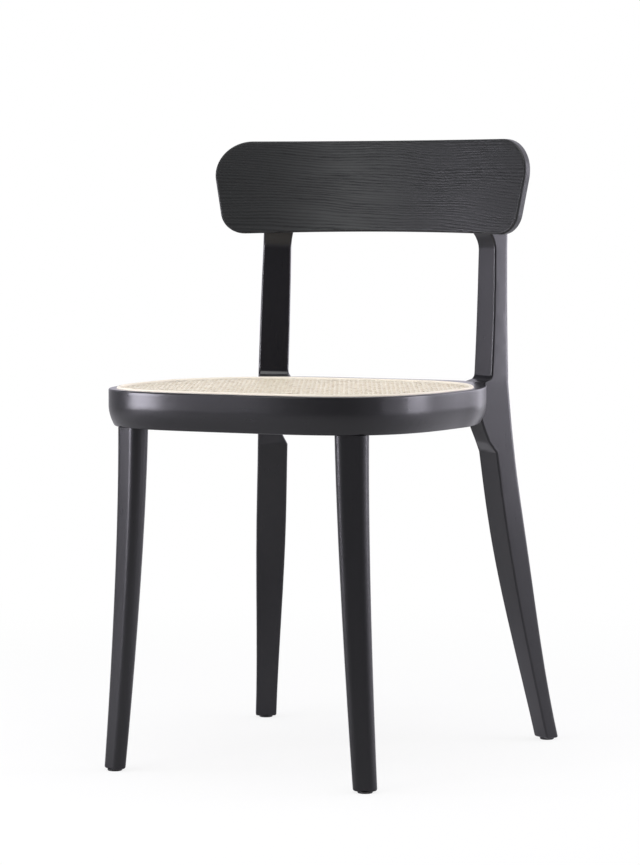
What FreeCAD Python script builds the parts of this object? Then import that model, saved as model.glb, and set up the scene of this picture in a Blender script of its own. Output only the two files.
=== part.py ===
import FreeCAD, Part
import math
import os

import Sketcher

# A dining chair with a cane seat: a rounded seat rail in four pieces, two tapered front legs
# that stand in it on round tenons, two rear legs that run on as the backrest's posts, a curved
# backrest panel, and cane webbing held in a groove by a reed spline.
#
# Frame: +Z up, +X to the right of someone facing the chair, the front edge towards -Y.
# The origin is on the floor, under the middle of the chair. Lengths are in millimetres.

SIZES = [
    # The seat's plan: two half superellipses that meet on the widest line, the rear one tapered
    ("seat_height", 460.0, "floor to the top of the seat rail"),
    ("seat_half_width", 216.3, "middle to the widest point of the seat"),
    ("seat_widest_y", -17.7, "where the seat is widest"),
    ("seat_front_depth", 232.5, "widest line to the front edge"),
    ("seat_rear_depth", 189.1, "widest line to the rear edge"),
    ("seat_front_power", 3.5, "squareness of the front corners"),
    ("seat_rear_power", 7.0, "squareness of the rear corners"),
    ("seat_taper", 0.355, "share of the width lost at the rear edge"),
    ("seat_taper_power", 1.5, "how late the seat tapers"),
    # The seat rail's section
    ("rail_height", 45.0, "height of the seat rail"),
    ("rail_upright", 19.0, "upright upper part of the rail's outer face"),
    ("rail_hollow_radius", 50.0, "radius of the outer face below its upright part"),
    ("rail_top_edge", 1.8, "rounding of the upper outer edge"),
    ("rail_low_edge", 2.5, "rounding of the lower outer edge"),
    ("lip_front", 10.0, "rail outside the cane groove at the front"),
    ("lip_side", 8.0, "rail outside the cane groove at the sides"),
    ("lip_rear", 50.0, "rail outside the cane groove at the rear"),
    ("cane_rear_power", 5.0, "squareness of the cane's rear corners"),
    ("land_width", 18.0, "rail inside the cane groove"),
    ("front_joint_y", -150.0, "joint between the front rail and the side rails"),
    ("rear_joint_y", 75.0, "joint between the side rails and the rear rail"),
    # Cane, groove and spline
    ("groove_width", 6.5, "width of the cane groove"),
    ("groove_depth", 7.0, "depth of the cane groove"),
    ("cane_thickness", 1.5, "thickness of the woven cane"),
    ("cane_skirt", 0.8, "cane turned down into the groove"),
    ("cane_skirt_height", 4.0, "how far the cane reaches down the groove"),
    ("mesh_pitch", 33.0, "openings in the cane, middle to middle"),
    ("mesh_opening", 22.0, "width of an opening in the cane"),
    ("mesh_margin", 6.0, "closed border of the cane inside its skirt"),
    ("spline_proud", 2.2, "spline standing above the rail"),
    ("spline_round", 2.3, "rounding of the spline's upper edges"),
    ("glue_gap", 0.1, "room for glue round a fitted piece"),
    # Front legs
    ("front_top_x", 146.4, "middle of a front leg at the rail"),
    ("front_top_y", -208.0, "middle of a front leg at the rail"),
    ("front_splay_x", 22.2, "outward sweep of a front foot"),
    ("front_splay_y", 9.0, "forward sweep of a front foot"),
    ("front_splay_power", 1.5, "how late the front leg sweeps"),
    ("front_turn", 23.4, "front face turned outwards"),
    ("front_top_width", 40.0, "front leg's width at the rail"),
    ("front_top_depth", 26.0, "front leg's depth at the rail"),
    ("front_top_round", 11.0, "front leg's corners at the rail"),
    ("front_foot_width", 28.5, "front leg's width at the foot"),
    ("front_foot_depth", 18.5, "front leg's depth at the foot"),
    ("front_foot_round", 8.0, "front leg's corners at the foot"),
    ("tenon_radius", 11.0, "round tenon on a front leg"),
    ("tenon_length", 30.0, "round tenon on a front leg"),
    # Rear legs and posts
    ("rear_post_x", 155.2, "middle of a rear leg at the seat"),
    ("rear_post_y", 167.5, "middle of a rear leg at the seat"),
    ("rear_sweep_x", 48.6, "outward sweep of a rear foot"),
    ("rear_sweep_y", 69.8, "backward sweep of a rear foot"),
    ("rear_sweep_power", 1.4, "how late the rear leg sweeps"),
    ("rear_turn", 29.0, "front face turned inwards"),
    ("post_lean_in", 0.6, "post leaning inwards, degrees"),
    ("post_lean_back", 2.8, "post leaning back, degrees"),
    ("rear_front_round", 2.5, "rounding of the rear leg's front edges"),
    ("rear_back_round", 5.0, "rounding of the rear leg's back edges"),
    ("rear_foot_width", 27.5, "rear leg's width at the foot"),
    ("rear_foot_depth", 20.0, "rear leg's depth at the foot"),
    ("shin_height", 280.0, "where the rear leg reaches its full section"),
    ("knee_height", 371.0, "where the rear leg swells towards the seat"),
    ("knee_width", 38.5, "rear leg's width from the shin to the seat"),
    ("knee_depth", 30.5, "rear leg's depth from the shin to the seat rail"),
    ("seat_depth", 28.0, "rear leg's depth at the rail's top"),
    ("knee_swell", 19.0, "forward swell under the seat rail"),
    ("knee_swell_power", 0.6, "how early the swell grows"),
    ("knee_pinch", 8.0, "inner side drawn in below the seat rail"),
    ("knee_pinch_height", 13.0, "height over which it is drawn in"),
    ("seat_swell", 11.5, "forward swell at the rail's top"),
    ("seat_spread", 3.0, "inward swell at the rail's top"),
    ("flare_height", 9.0, "height of the small flare on the rail"),
    ("waist_width", 36.0, "post's width under the backrest"),
    ("waist_width_power", 2.5, "how late the post narrows"),
    ("waist_depth", 21.5, "post's depth under the backrest"),
    ("waist_depth_power", 2.2, "how early the post thins"),
    ("waist_drop", 22.0, "thinnest place, below the panel"),
    ("head_swell", 8.5, "forward swell behind the panel"),
    ("head_spread", 2.0, "inward swell behind the panel"),
    ("post_head_drop", 26.0, "post ending below the panel's top"),
    ("foot_edge", 2.5, "rounding round the feet"),
    ("foot_edge_share", 0.6, "how much of it the feet's corners lose"),
    # Backrest panel
    ("panel_bottom", 647.0, "floor to the panel's lower edge"),
    ("panel_height", 116.0, "height of the panel"),
    ("panel_half_width", 218.4, "middle to the panel's end"),
    ("panel_radius", 470.0, "radius of the panel's hollow front face"),
    ("panel_thickness", 15.0, "thickness of the moulded plywood"),
    ("panel_middle_y", 169.4, "middle of the front face, at the lower edge"),
    ("panel_recline", 7.0, "panel leaning back, degrees"),
    ("panel_top_round", 42.0, "radius of the upper corners"),
    ("panel_low_round", 30.0, "radius of the lower corners"),
    ("panel_end_slant", 10.5, "ends drawn in downwards, degrees"),
    ("panel_low_radius", 6000.0, "radius of the arched lower edge"),
    ("panel_edge", 2.5, "rounding of the panel's edges"),
    ("panel_waste", 20.0, "bent sheet trimmed off above and below the panel"),
    ("panel_end_waste", 25.0, "bent sheet trimmed off at each end of the panel"),
    # Fasteners and small parts
    ("dowel_radius", 4.0, "dowel between two rails"),
    ("dowel_length", 40.0, "dowel between two rails"),
    ("dowel_rise", 9.0, "dowel above and below their middle"),
    ("dowel_drop", 3.0, "middle of two dowels below the rail's middle"),
    ("block_length", 120.0, "corner block along its free face"),
    ("block_depth", 26.0, "corner block behind its free face"),
    ("block_height", 22.0, "corner block's height"),
    ("block_lift", 4.0, "corner block above the rail's underside"),
    ("block_front_turn", 42.0, "direction of the front corner blocks"),
    ("block_screw_radius", 2.0, "screw through a corner block"),
    ("block_screw_bite", 13.0, "screw's length in the rail"),
    ("block_screw_spread", 38.0, "screw to the block's middle"),
    ("block_screw_head", 4.0, "radius of the screw's head"),
    ("screw_head_height", 2.5, "height of a screw's head"),
    ("bolt_radius", 3.0, "bolt into a rear leg"),
    ("bolt_bite", 11.0, "bolt's length in the rear leg"),
    ("bolt_head_radius", 5.0, "head of the bolt"),
    ("bolt_head_height", 6.0, "head of the bolt"),
    ("bolt_spread", 7.0, "bolt to the leg's middle"),
    ("insert_radius", 5.0, "threaded insert in a rear leg"),
    ("insert_length", 12.0, "threaded insert in a rear leg"),
    ("insert_sunk", 0.8, "insert behind the leg's face"),
    ("washer_radius", 6.5, "washer under a bolt's head"),
    ("washer_thickness", 1.5, "washer under a bolt's head"),
    ("back_screw_radius", 2.25, "screw from a post into the panel"),
    ("back_screw_bite", 8.0, "screw's length in the panel"),
    ("back_screw_head", 4.5, "radius of the screw's head"),
    ("back_screw_spread", 24.0, "screw above and below their middle"),
    ("back_screw_height", 690.0, "middle of the two screws"),
    ("plug_radius", 5.0, "wooden plug over a screw"),
    ("plug_depth", 6.0, "wooden plug over a screw"),
    ("glide_height", 2.5, "plastic glide under a foot"),
    ("glide_radius", 9.0, "plastic glide under a foot"),
    ("glide_edge", 0.8, "chamfer of the glide's rim"),
    ("nail_radius", 1.2, "nail that holds a glide"),
    ("nail_length", 15.0, "nail's length above its head"),
    ("nail_head_radius", 3.5, "nail's head, moulded into the glide"),
    ("nail_head_height", 0.8, "nail's head, moulded into the glide"),
]

OUTLINE_POINTS = 48
SMALL_ANGLE = 0.001
SIDES = {"left": -1, "right": 1}
UP = FreeCAD.Vector(0, 0, 1)

document = FreeCAD.newDocument("cane_chair")
sheet = document.addObject("Spreadsheet::Sheet", "Sizes")
for row, (alias, number, note) in enumerate(SIZES, start=1):
    sheet.set(f"A{row}", alias)
    sheet.set(f"B{row}", str(number))
    sheet.set(f"C{row}", note)
    sheet.setAlias(f"B{row}", alias)
document.recompute()

nodes = {}


# Small helpers

def value(formula):
    """The number that a formula on the sheet's sizes gives now."""
    result = sheet.evalExpression(formula)
    return float(getattr(result, "Value", result))


def size(alias):
    """One size from the sheet."""
    return float(getattr(sheet, alias))


def bind(thing, formulas):
    """Ties properties of a document object to formulas on the sheet's sizes."""
    for target, formula in formulas.items():
        thing.setExpression(target, formula)


def keep(thing, label):
    """Names a finished piece of the chair."""
    thing.Label = label
    nodes[label] = thing
    return thing


def cut(name, base, tool):
    """base without tool."""
    result = document.addObject("Part::Cut", name)
    result.Base = base
    result.Tool = tool
    return result


def common(name, base, tool):
    """What base and tool share."""
    result = document.addObject("Part::Common", name)
    result.Base = base
    result.Tool = tool
    return result


def fuse(name, things):
    """Several shapes as one solid."""
    result = document.addObject("Part::MultiFuse", name)
    result.Shapes = things
    return result


def group(name, things):
    """Several separate solids in one object."""
    result = document.addObject("Part::Compound", name)
    result.Links = things
    return result


def cylinder(name, radius, height, base, direction=UP):
    """A cylinder whose radius and height are formulas, from base along direction."""
    result = document.addObject("Part::Cylinder", name)
    bind(result, {"Radius": radius, "Height": height})
    result.Placement = FreeCAD.Placement(base, FreeCAD.Rotation(UP, direction))
    return result


def headed(name, radius, length, head_radius, head_height, base, direction, room="0"):
    """A screw, bolt or nail, or with room the hole for it. Its shank runs from base along direction."""
    head_start = base - direction * value(f"{head_height} + {room}")
    shank = cylinder(f"{name}_shank", f"{radius} + {room}", f"{length} + 2 * {room}", base, direction)
    head = cylinder(f"{name}_head", f"{head_radius} + {room}", f"{head_height} + {room}",
                    head_start, direction)
    return fuse(name, [head, shank])


def origin_plane(body, role):
    """One of a body's own origin planes."""
    return next(plane for plane in body.Origin.OriginFeatures if plane.Role == role)


def new_sketch(body, name, role):
    """A sketch on one of a body's origin planes."""
    sketch = body.newObject("Sketcher::SketchObject", name)
    sketch.AttachmentSupport = (origin_plane(body, role), [""])
    sketch.MapMode = "FlatFace"
    return sketch


def name_constraints(sketch, names):
    """Adds named, sized constraints and ties each to its formula."""
    for constraint_name, (constraint, formula) in names.items():
        index = sketch.addConstraint(constraint)
        sketch.renameConstraint(index, constraint_name)
        sketch.setExpression(f"Constraints.{constraint_name}", formula)


# The seat's plan

def plan_point(prefix, angle):
    """The point of the seat's or the cane's outline at one angle from the right."""
    half_width = size("seat_half_width")
    front_depth = size("seat_front_depth")
    rear_depth = size("seat_rear_depth")
    rear_power = size("seat_rear_power")
    if prefix == "cane":
        half_width -= size("lip_side")
        front_depth -= size("lip_front")
        rear_depth -= size("lip_rear")
        rear_power = size("cane_rear_power")
    cosine = math.cos(angle)
    sine = math.sin(angle)
    depth = front_depth if sine < 0 else rear_depth
    power = size("seat_front_power") if sine < 0 else rear_power
    radius = (abs(cosine / half_width) ** power + abs(sine / depth) ** power) ** (-1 / power)
    along = radius * sine
    taper = size("seat_taper") * (max(along, 0) / rear_depth) ** size("seat_taper_power")
    return FreeCAD.Vector(radius * cosine * (1 - taper), along + size("seat_widest_y"), 0)


def outline_points(prefix, inset):
    """Points round the seat's or the cane's outline from the front, inset along its normals."""
    points = []
    for step in range(OUTLINE_POINTS):
        angle = 2 * math.pi * step / OUTLINE_POINTS - math.pi / 2
        ahead = plan_point(prefix, angle + SMALL_ANGLE) - plan_point(prefix, angle - SMALL_ANGLE)
        normal = FreeCAD.Vector(ahead.y, -ahead.x, 0).normalize()
        points.append(plan_point(prefix, angle) - normal * inset)
    return points


def outline_reach(points, along):
    """How far an outline lies to the right of the middle, where y is along, or 0 beyond its ends."""
    for first, last in zip(points, points[1:]):
        if last.x > 0 and first.y <= along < last.y:
            return first.x + (last.x - first.x) * (along - first.y) / (last.y - first.y)
    return 0


def outline(name, prefix, inset, height):
    """A closed wire round the seat at one height, in a right and a left half."""
    points = outline_points(prefix, value(inset))
    curve = Part.BSplineCurve()
    curve.interpolate(Points=points, PeriodicFlag=True)
    rear_middle = curve.parameter(points[OUTLINE_POINTS // 2])
    halves = [curve.toShape(curve.FirstParameter, rear_middle),
              curve.toShape(rear_middle, curve.LastParameter)]
    wire = document.addObject("Part::Feature", name)
    wire.Shape = Part.Wire(halves)
    bind(wire, {"Placement.Base.z": height})
    return wire


def slab(name, prefix, inset, bottom, height):
    """A flat solid with the seat's or the cane's outline."""
    wire = outline(f"{name}_outline", prefix, inset, bottom)
    result = document.addObject("Part::Extrusion", name)
    result.Base = wire
    result.DirMode = "Custom"
    result.Dir = UP
    result.Solid = True
    bind(result, {"LengthFwd": height})
    return result


def seat_blank():
    """The rail's outer form, solid right across, with its edges rounded."""
    bulge = "(Sizes.seat_height - Sizes.rail_upright)"
    under = "(Sizes.rail_height - Sizes.rail_upright)"
    upper = slab("blank_upper", "seat", "0", bulge, "Sizes.rail_upright")
    sections = []
    steps = 4
    for step in range(steps + 1):
        fall = f"({under} * {steps - step} / {steps})"
        inset = f"Sizes.rail_hollow_radius - sqrt(Sizes.rail_hollow_radius^2 - {fall}^2)"
        sections.append(outline(f"blank_section_{step}", "seat", inset, f"{bulge} - {fall}"))
    lower = document.addObject("Part::Loft", "blank_lower")
    lower.Sections = sections
    lower.Solid = True
    whole = fuse("blank", [upper, lower])
    document.recompute()
    heights = {size("seat_height"): size("rail_top_edge"),
               value("Sizes.seat_height - Sizes.rail_height"): size("rail_low_edge")}
    edges = []
    for index, edge in enumerate(whole.Shape.Edges, start=1):
        for height, radius in heights.items():
            if abs(edge.BoundBox.ZMin - height) < 0.01 and abs(edge.BoundBox.ZMax - height) < 0.01:
                edges.append((index, radius, radius))
    rounded = document.addObject("Part::Fillet", "blank_rounded")
    rounded.Base = whole
    rounded.Edges = edges
    return rounded


def seat_ring(blank):
    """The blank with its opening, the cane's rebate and the groove."""
    underside = "(Sizes.seat_height - Sizes.rail_height)"
    groove_floor = "(Sizes.seat_height - Sizes.groove_depth)"
    over = "1"
    opening = slab("opening", "cane", "Sizes.groove_width + Sizes.land_width",
                   f"{underside} - {over}", f"Sizes.rail_height + 2 * {over}")
    rebate = slab("rebate", "cane", "Sizes.groove_width", "Sizes.seat_height - Sizes.cane_thickness",
                  f"Sizes.cane_thickness + {over}")
    groove_outer = slab("groove_outer", "cane", "0", groove_floor, f"Sizes.groove_depth + {over}")
    groove_inner = slab("groove_inner", "cane", "Sizes.groove_width", groove_floor,
                        f"Sizes.groove_depth + {over}")
    groove = cut("groove", groove_outer, groove_inner)
    ring = cut("ring_open", blank, opening)
    ring = cut("ring_rebated", ring, rebate)
    return cut("ring", ring, groove)


def rail_box(name, low_x, high_x, low_y, high_y):
    """The space of one rail, as formulas for its sides."""
    result = document.addObject("Part::Box", name)
    bind(result, {
        "Length": f"{high_x} - ({low_x})",
        "Width": f"{high_y} - ({low_y})",
        "Height": "Sizes.rail_height + 2",
        "Placement.Base.x": low_x,
        "Placement.Base.y": low_y,
        "Placement.Base.z": "Sizes.seat_height - Sizes.rail_height - 1",
    })
    return result


def rail_dowels(room="0"):
    """Two dowels across each joint of the rail, or with room the holes for them."""
    middle_z = value("Sizes.seat_height - Sizes.rail_height / 2 - Sizes.dowel_drop")
    outer_points = outline_points("seat", 0)
    inner_points = outline_points("cane", value("Sizes.groove_width + Sizes.land_width"))
    dowels = []
    for joint in ("front", "rear"):
        joint_y = size(f"{joint}_joint_y")
        middle_x = (outline_reach(outer_points, joint_y) + outline_reach(inner_points, joint_y)) / 2
        start_y = joint_y - value(f"Sizes.dowel_length / 2 + 2 * {room}")
        for side, sign in SIDES.items():
            for level in (-1, 1):
                start = FreeCAD.Vector(sign * middle_x, start_y, middle_z + level * size("dowel_rise"))
                dowels.append(cylinder(
                    f"dowel_{joint}_{side}", f"Sizes.dowel_radius + {room}",
                    f"Sizes.dowel_length + 4 * {room}", start, FreeCAD.Vector(0, 1, 0)))
    return dowels


def mesh_openings():
    """A plain grid of square openings through the cane, whole ones only."""
    pitch = size("mesh_pitch")
    half = size("mesh_opening") / 2
    border = outline_points("cane", value("Sizes.groove_width + Sizes.mesh_margin"))
    middle_y = (plan_point("cane", math.pi / 2).y + plan_point("cane", -math.pi / 2).y) / 2
    reach = math.ceil(size("seat_half_width") / pitch)
    squares = []
    for row in range(-reach, reach + 1):
        for column in range(-reach, reach + 1):
            centre = FreeCAD.Vector(column * pitch, middle_y + row * pitch, 0)
            corners = [centre + FreeCAD.Vector(step_x * half, step_y * half, 0)
                       for step_x, step_y in ((-1, -1), (1, -1), (1, 1), (-1, 1))]
            if all(abs(corner.x) < outline_reach(border, corner.y) for corner in corners):
                squares.append(Part.makePolygon(corners + corners[:1]))
    grid = document.addObject("Part::Feature", "mesh_grid")
    grid.Shape = Part.makeCompound(squares)
    bind(grid, {"Placement.Base.z": "Sizes.seat_height - 2 * Sizes.cane_thickness"})
    openings = document.addObject("Part::Extrusion", "mesh_openings")
    openings.Base = grid
    openings.DirMode = "Custom"
    openings.Dir = UP
    openings.Solid = True
    bind(openings, {"LengthFwd": "3 * Sizes.cane_thickness"})
    return openings


# Legs

def rounded_section(body, name, width, depth, front_round, back_round, place, turn):
    """A rounded rectangle on the leg's path, turned about Z, its front edge towards -Y."""
    sketch = new_sketch(body, name, "XY_Plane")
    sketch.AttachmentOffset = FreeCAD.Placement(FreeCAD.Vector(), FreeCAD.Rotation(UP, 1))
    half_width = value(width) / 2
    half_depth = value(depth) / 2
    front = value(front_round)
    back = value(back_round)
    corners = [(half_width - front, front - half_depth, front),
               (half_width - back, half_depth - back, back),
               (back - half_width, half_depth - back, back),
               (front - half_width, front - half_depth, front)]
    steps = [(0, -1), (1, 0), (0, 1), (-1, 0)]
    for index, (centre_x, centre_y, radius) in enumerate(corners):
        last_x, last_y, last_radius = corners[index - 1]
        side_x, side_y = steps[index]
        start = FreeCAD.Vector(last_x + side_x * last_radius, last_y + side_y * last_radius, 0)
        end = FreeCAD.Vector(centre_x + side_x * radius, centre_y + side_y * radius, 0)
        sketch.addGeometry(Part.LineSegment(start, end))
        circle = Part.Circle(FreeCAD.Vector(centre_x, centre_y, 0), UP, radius)
        first = math.radians(90 * index - 90)
        sketch.addGeometry(Part.ArcOfCircle(circle, first, first + math.pi / 2))
    constraints = []
    for index in range(0, 8, 2):
        constraints.append(Sketcher.Constraint("Tangent", index, 2, index + 1, 1))
        constraints.append(Sketcher.Constraint("Tangent", index + 1, 2, (index + 2) % 8, 1))
    constraints.append(Sketcher.Constraint("Equal", 1, 7))
    constraints.append(Sketcher.Constraint("Equal", 3, 5))
    constraints.append(Sketcher.Constraint("Horizontal", 4))
    constraints.append(Sketcher.Constraint("Vertical", 2))
    constraints.append(Sketcher.Constraint("Vertical", 6))
    constraints.append(Sketcher.Constraint("Symmetric", 0, 1, 0, 2, -2))
    sketch.addConstraint(constraints)
    name_constraints(sketch, {
        "width": (Sketcher.Constraint("DistanceX", 6, 1, 2, 1, 2 * half_width), width),
        "depth": (Sketcher.Constraint("DistanceY", 0, 1, 4, 1, 2 * half_depth), depth),
        "front": (Sketcher.Constraint("DistanceY", 0, 1, -1, 1, half_depth), f"({depth}) / 2"),
        "front_corner": (Sketcher.Constraint("Radius", 1, front), front_round),
        "back_corner": (Sketcher.Constraint("Radius", 3, back), back_round),
    })
    place_x, place_y, place_z = place
    bind(sketch, {
        "AttachmentOffset.Base.x": place_x,
        "AttachmentOffset.Base.y": place_y,
        "AttachmentOffset.Base.z": place_z,
        "AttachmentOffset.Rotation.Angle": turn,
    })
    return sketch


def add_loft(body, name, sections, ruled=False):
    """Joins sections of a leg, in order."""
    loft = body.newObject("PartDesign::AdditiveLoft", name)
    loft.Profile = sections[0]
    loft.Sections = sections[1:]
    loft.Ruled = ruled
    return loft


def foot_loft(body, name, section):
    """The lowest few millimetres of a leg, rounded underneath. section draws one level of it."""
    steps = 3
    sections = []
    for step in range(steps + 1):
        angle = f"({step} * 90 / {steps})"
        height = f"(Sizes.glide_height + Sizes.foot_edge * (1 - cos({angle})))"
        inset = f"(Sizes.foot_edge * (1 - sin({angle})))"
        sections.append(section(f"{name}_{step}", height, inset))
    return add_loft(body, name, sections, ruled=True)


def front_path(height, sign):
    """Formulas for the middle of a front leg at one height."""
    top = "(Sizes.seat_height - Sizes.rail_height)"
    fall = f"(({top} - {height}) / {top})^Sizes.front_splay_power"
    return (f"{sign} * (Sizes.front_top_x + Sizes.front_splay_x * {fall})",
            f"Sizes.front_top_y - Sizes.front_splay_y * {fall}", height)


def front_leg(side):
    """A tapered front leg that sweeps outwards, with a round tenon on top."""
    sign = SIDES[side]
    body = document.addObject("PartDesign::Body", f"front_leg_{side}_body")
    top = "(Sizes.seat_height - Sizes.rail_height)"

    def section(name, height, inset="0", share="0"):
        """One level of the leg, share of the way from its foot's size to its top's."""
        width, depth, corner = [
            f"(Sizes.front_foot_{part} + (Sizes.front_top_{part} - Sizes.front_foot_{part}) * {share})"
            for part in ("width", "depth", "round")]
        rounding = f"{corner} - {inset}"
        return rounded_section(body, name, f"{width} - 2 * {inset}", f"{depth} - 2 * {inset}",
                               rounding, rounding, front_path(height, sign),
                               f"{sign} * Sizes.front_turn")

    foot_loft(body, f"front_{side}_foot", section)
    foot = "(Sizes.glide_height + Sizes.foot_edge)"
    steps = 4
    sections = []
    for step in range(steps + 1):
        share = f"({step} / {steps})"
        height = f"({foot} + ({top} - {foot}) * {share})"
        sections.append(section(f"front_{side}_section_{step}", height, share=share))
    add_loft(body, f"front_{side}_taper", sections)
    circle = new_sketch(body, f"front_{side}_tenon_sketch", "XY_Plane")
    circle.addGeometry(Part.Circle(FreeCAD.Vector(), UP, size("tenon_radius")))
    circle.addConstraint(Sketcher.Constraint("Coincident", 0, 3, -1, 1))
    name_constraints(circle, {
        "tenon": (Sketcher.Constraint("Radius", 0, size("tenon_radius")), "Sizes.tenon_radius")})
    place_x, place_y, place_z = front_path(top, sign)
    bind(circle, {"AttachmentOffset.Base.x": place_x, "AttachmentOffset.Base.y": place_y,
                  "AttachmentOffset.Base.z": place_z})
    tenon = body.newObject("PartDesign::Pad", f"front_{side}_tenon")
    tenon.Profile = circle
    bind(tenon, {"Length": "Sizes.tenon_length"})
    body.Tip = tenon
    return body


def rear_path(height, sign, spread="0", swell="0"):
    """Formulas for the middle of a rear leg's section, which grows inwards and forwards."""
    fall = f"(max(Sizes.seat_height - {height}; 0) / Sizes.seat_height)^Sizes.rear_sweep_power"
    rise = f"max({height} - Sizes.seat_height; 0)"
    middle_x = f"Sizes.rear_post_x + Sizes.rear_sweep_x * {fall} - tan(Sizes.post_lean_in) * {rise}"
    middle_y = f"Sizes.rear_post_y + Sizes.rear_sweep_y * {fall} + tan(Sizes.post_lean_back) * {rise}"
    cosine = "cos(Sizes.rear_turn)"
    sine = "sin(Sizes.rear_turn)"
    return (f"{sign} * ({middle_x} - {cosine} * {spread} / 2 - {sine} * {swell} / 2)",
            f"{middle_y} + {sine} * {spread} / 2 - {cosine} * {swell} / 2", height)


def rear_section(body, name, sign, height, width, depth, spread="0", swell="0", inset="0"):
    """One section of a rear leg."""
    slim = f"Sizes.foot_edge_share * {inset}"
    return rounded_section(body, name, f"{width} + {spread} - 2 * {inset}",
                           f"{depth} + {swell} - 2 * {inset}", f"Sizes.rear_front_round - {slim}",
                           f"Sizes.rear_back_round - {slim}", rear_path(height, sign, spread, swell),
                           f"{-sign} * Sizes.rear_turn")


def rear_leg(side):
    """A rear leg that sweeps back to its foot, swells under the seat and runs up as a post."""
    sign = SIDES[side]
    body = document.addObject("PartDesign::Body", f"rear_leg_{side}_body")
    knee = "Sizes.knee_height"
    under = "(Sizes.seat_height - Sizes.rail_height)"
    seat = "Sizes.seat_height"
    flare = "(Sizes.seat_height + Sizes.flare_height)"
    waist = "(Sizes.panel_bottom - Sizes.waist_drop)"
    head = "Sizes.panel_bottom"
    top = "(Sizes.panel_bottom + Sizes.panel_height - Sizes.post_head_drop)"
    full = ("Sizes.knee_width", "Sizes.knee_depth")
    seated = ("Sizes.knee_width", "Sizes.seat_depth")
    thin = ("Sizes.waist_width", "Sizes.waist_depth")

    def foot_section(name, height, inset):
        """One level of the foot."""
        return rear_section(body, name, sign, height, "Sizes.rear_foot_width", "Sizes.rear_foot_depth",
                            inset=inset)

    foot_loft(body, f"rear_foot_{side}", foot_section)
    foot = "(Sizes.glide_height + Sizes.foot_edge)"
    lower = []
    steps = 7
    for step in range(steps + 1):
        height = f"({foot} + ({knee} - {foot}) * {step} / {steps})"
        rise = f"min(({height} - {foot}) / (Sizes.shin_height - {foot}); 1)"
        share = f"(3 * {rise}^2 - 2 * {rise}^3)"
        width, depth = [f"(Sizes.rear_foot_{part} + (Sizes.knee_{part} - Sizes.rear_foot_{part}) * {share})"
                        for part in ("width", "depth")]
        lower.append(rear_section(body, f"shin_{side}_{step}", sign, height, width, depth))
    add_loft(body, f"shin_{side}", lower)

    swelling = []
    steps = 3
    for step in range(steps + 1):
        share = f"({step} / {steps})"
        height = f"({knee} + ({under} - {knee}) * {share})"
        pinch = f"(min(({under} - {knee}) * {share} / Sizes.knee_pinch_height; 1) * Sizes.knee_pinch)"
        swelling.append(rear_section(body, f"knee_{side}_{step}", sign, height, *full, f"(0 - {pinch})",
                                     f"(Sizes.knee_swell * {share}^Sizes.knee_swell_power)"))
    swelling.append(rear_section(body, f"knee_{side}_{steps + 1}", sign, seat, *seated,
                                 "Sizes.seat_spread", "Sizes.seat_swell"))
    add_loft(body, f"knee_{side}", swelling, ruled=True)

    flaring = []
    steps = 3
    for step in range(steps + 1):
        height = f"({seat} + Sizes.flare_height * {step} / {steps})"
        fade = f"(1 - sqrt(1 - (1 - {step} / {steps})^2))"
        flaring.append(rear_section(body, f"flare_{side}_{step}", sign, height, *seated,
                                    f"(Sizes.seat_spread * {fade})", f"(Sizes.seat_swell * {fade})"))
    add_loft(body, f"flare_{side}", flaring, ruled=True)

    post = []
    steps = 4
    for step in range(steps + 1):
        share = f"({step} / {steps})"
        height = f"({flare} + ({waist} - {flare}) * {share})"
        width = (f"(Sizes.knee_width - (Sizes.knee_width - Sizes.waist_width)"
                 f" * {share}^Sizes.waist_width_power)")
        depth = (f"(Sizes.waist_depth + (Sizes.seat_depth - Sizes.waist_depth)"
                 f" * (1 - {share})^Sizes.waist_depth_power)")
        post.append(rear_section(body, f"post_{side}_{step}", sign, height, width, depth))
    add_loft(body, f"post_{side}", post)

    heading = []
    steps = 4
    for step in range(steps + 1):
        height = f"({waist} + Sizes.waist_drop * {step} / {steps})"
        fade = f"(({step} / {steps})^2)"
        heading.append(rear_section(body, f"head_{side}_{step}", sign, height, *thin,
                                    f"(Sizes.head_spread * {fade})", f"(Sizes.head_swell * {fade})"))
    add_loft(body, f"head_{side}", heading, ruled=True)
    tip = [
        rear_section(body, f"tip_{side}_0", sign, head, *thin, "Sizes.head_spread", "Sizes.head_swell"),
        rear_section(body, f"tip_{side}_1", sign, top, *thin, "Sizes.head_spread", "Sizes.head_swell"),
    ]
    body.Tip = add_loft(body, f"tip_{side}", tip)
    return body


# Backrest

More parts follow.
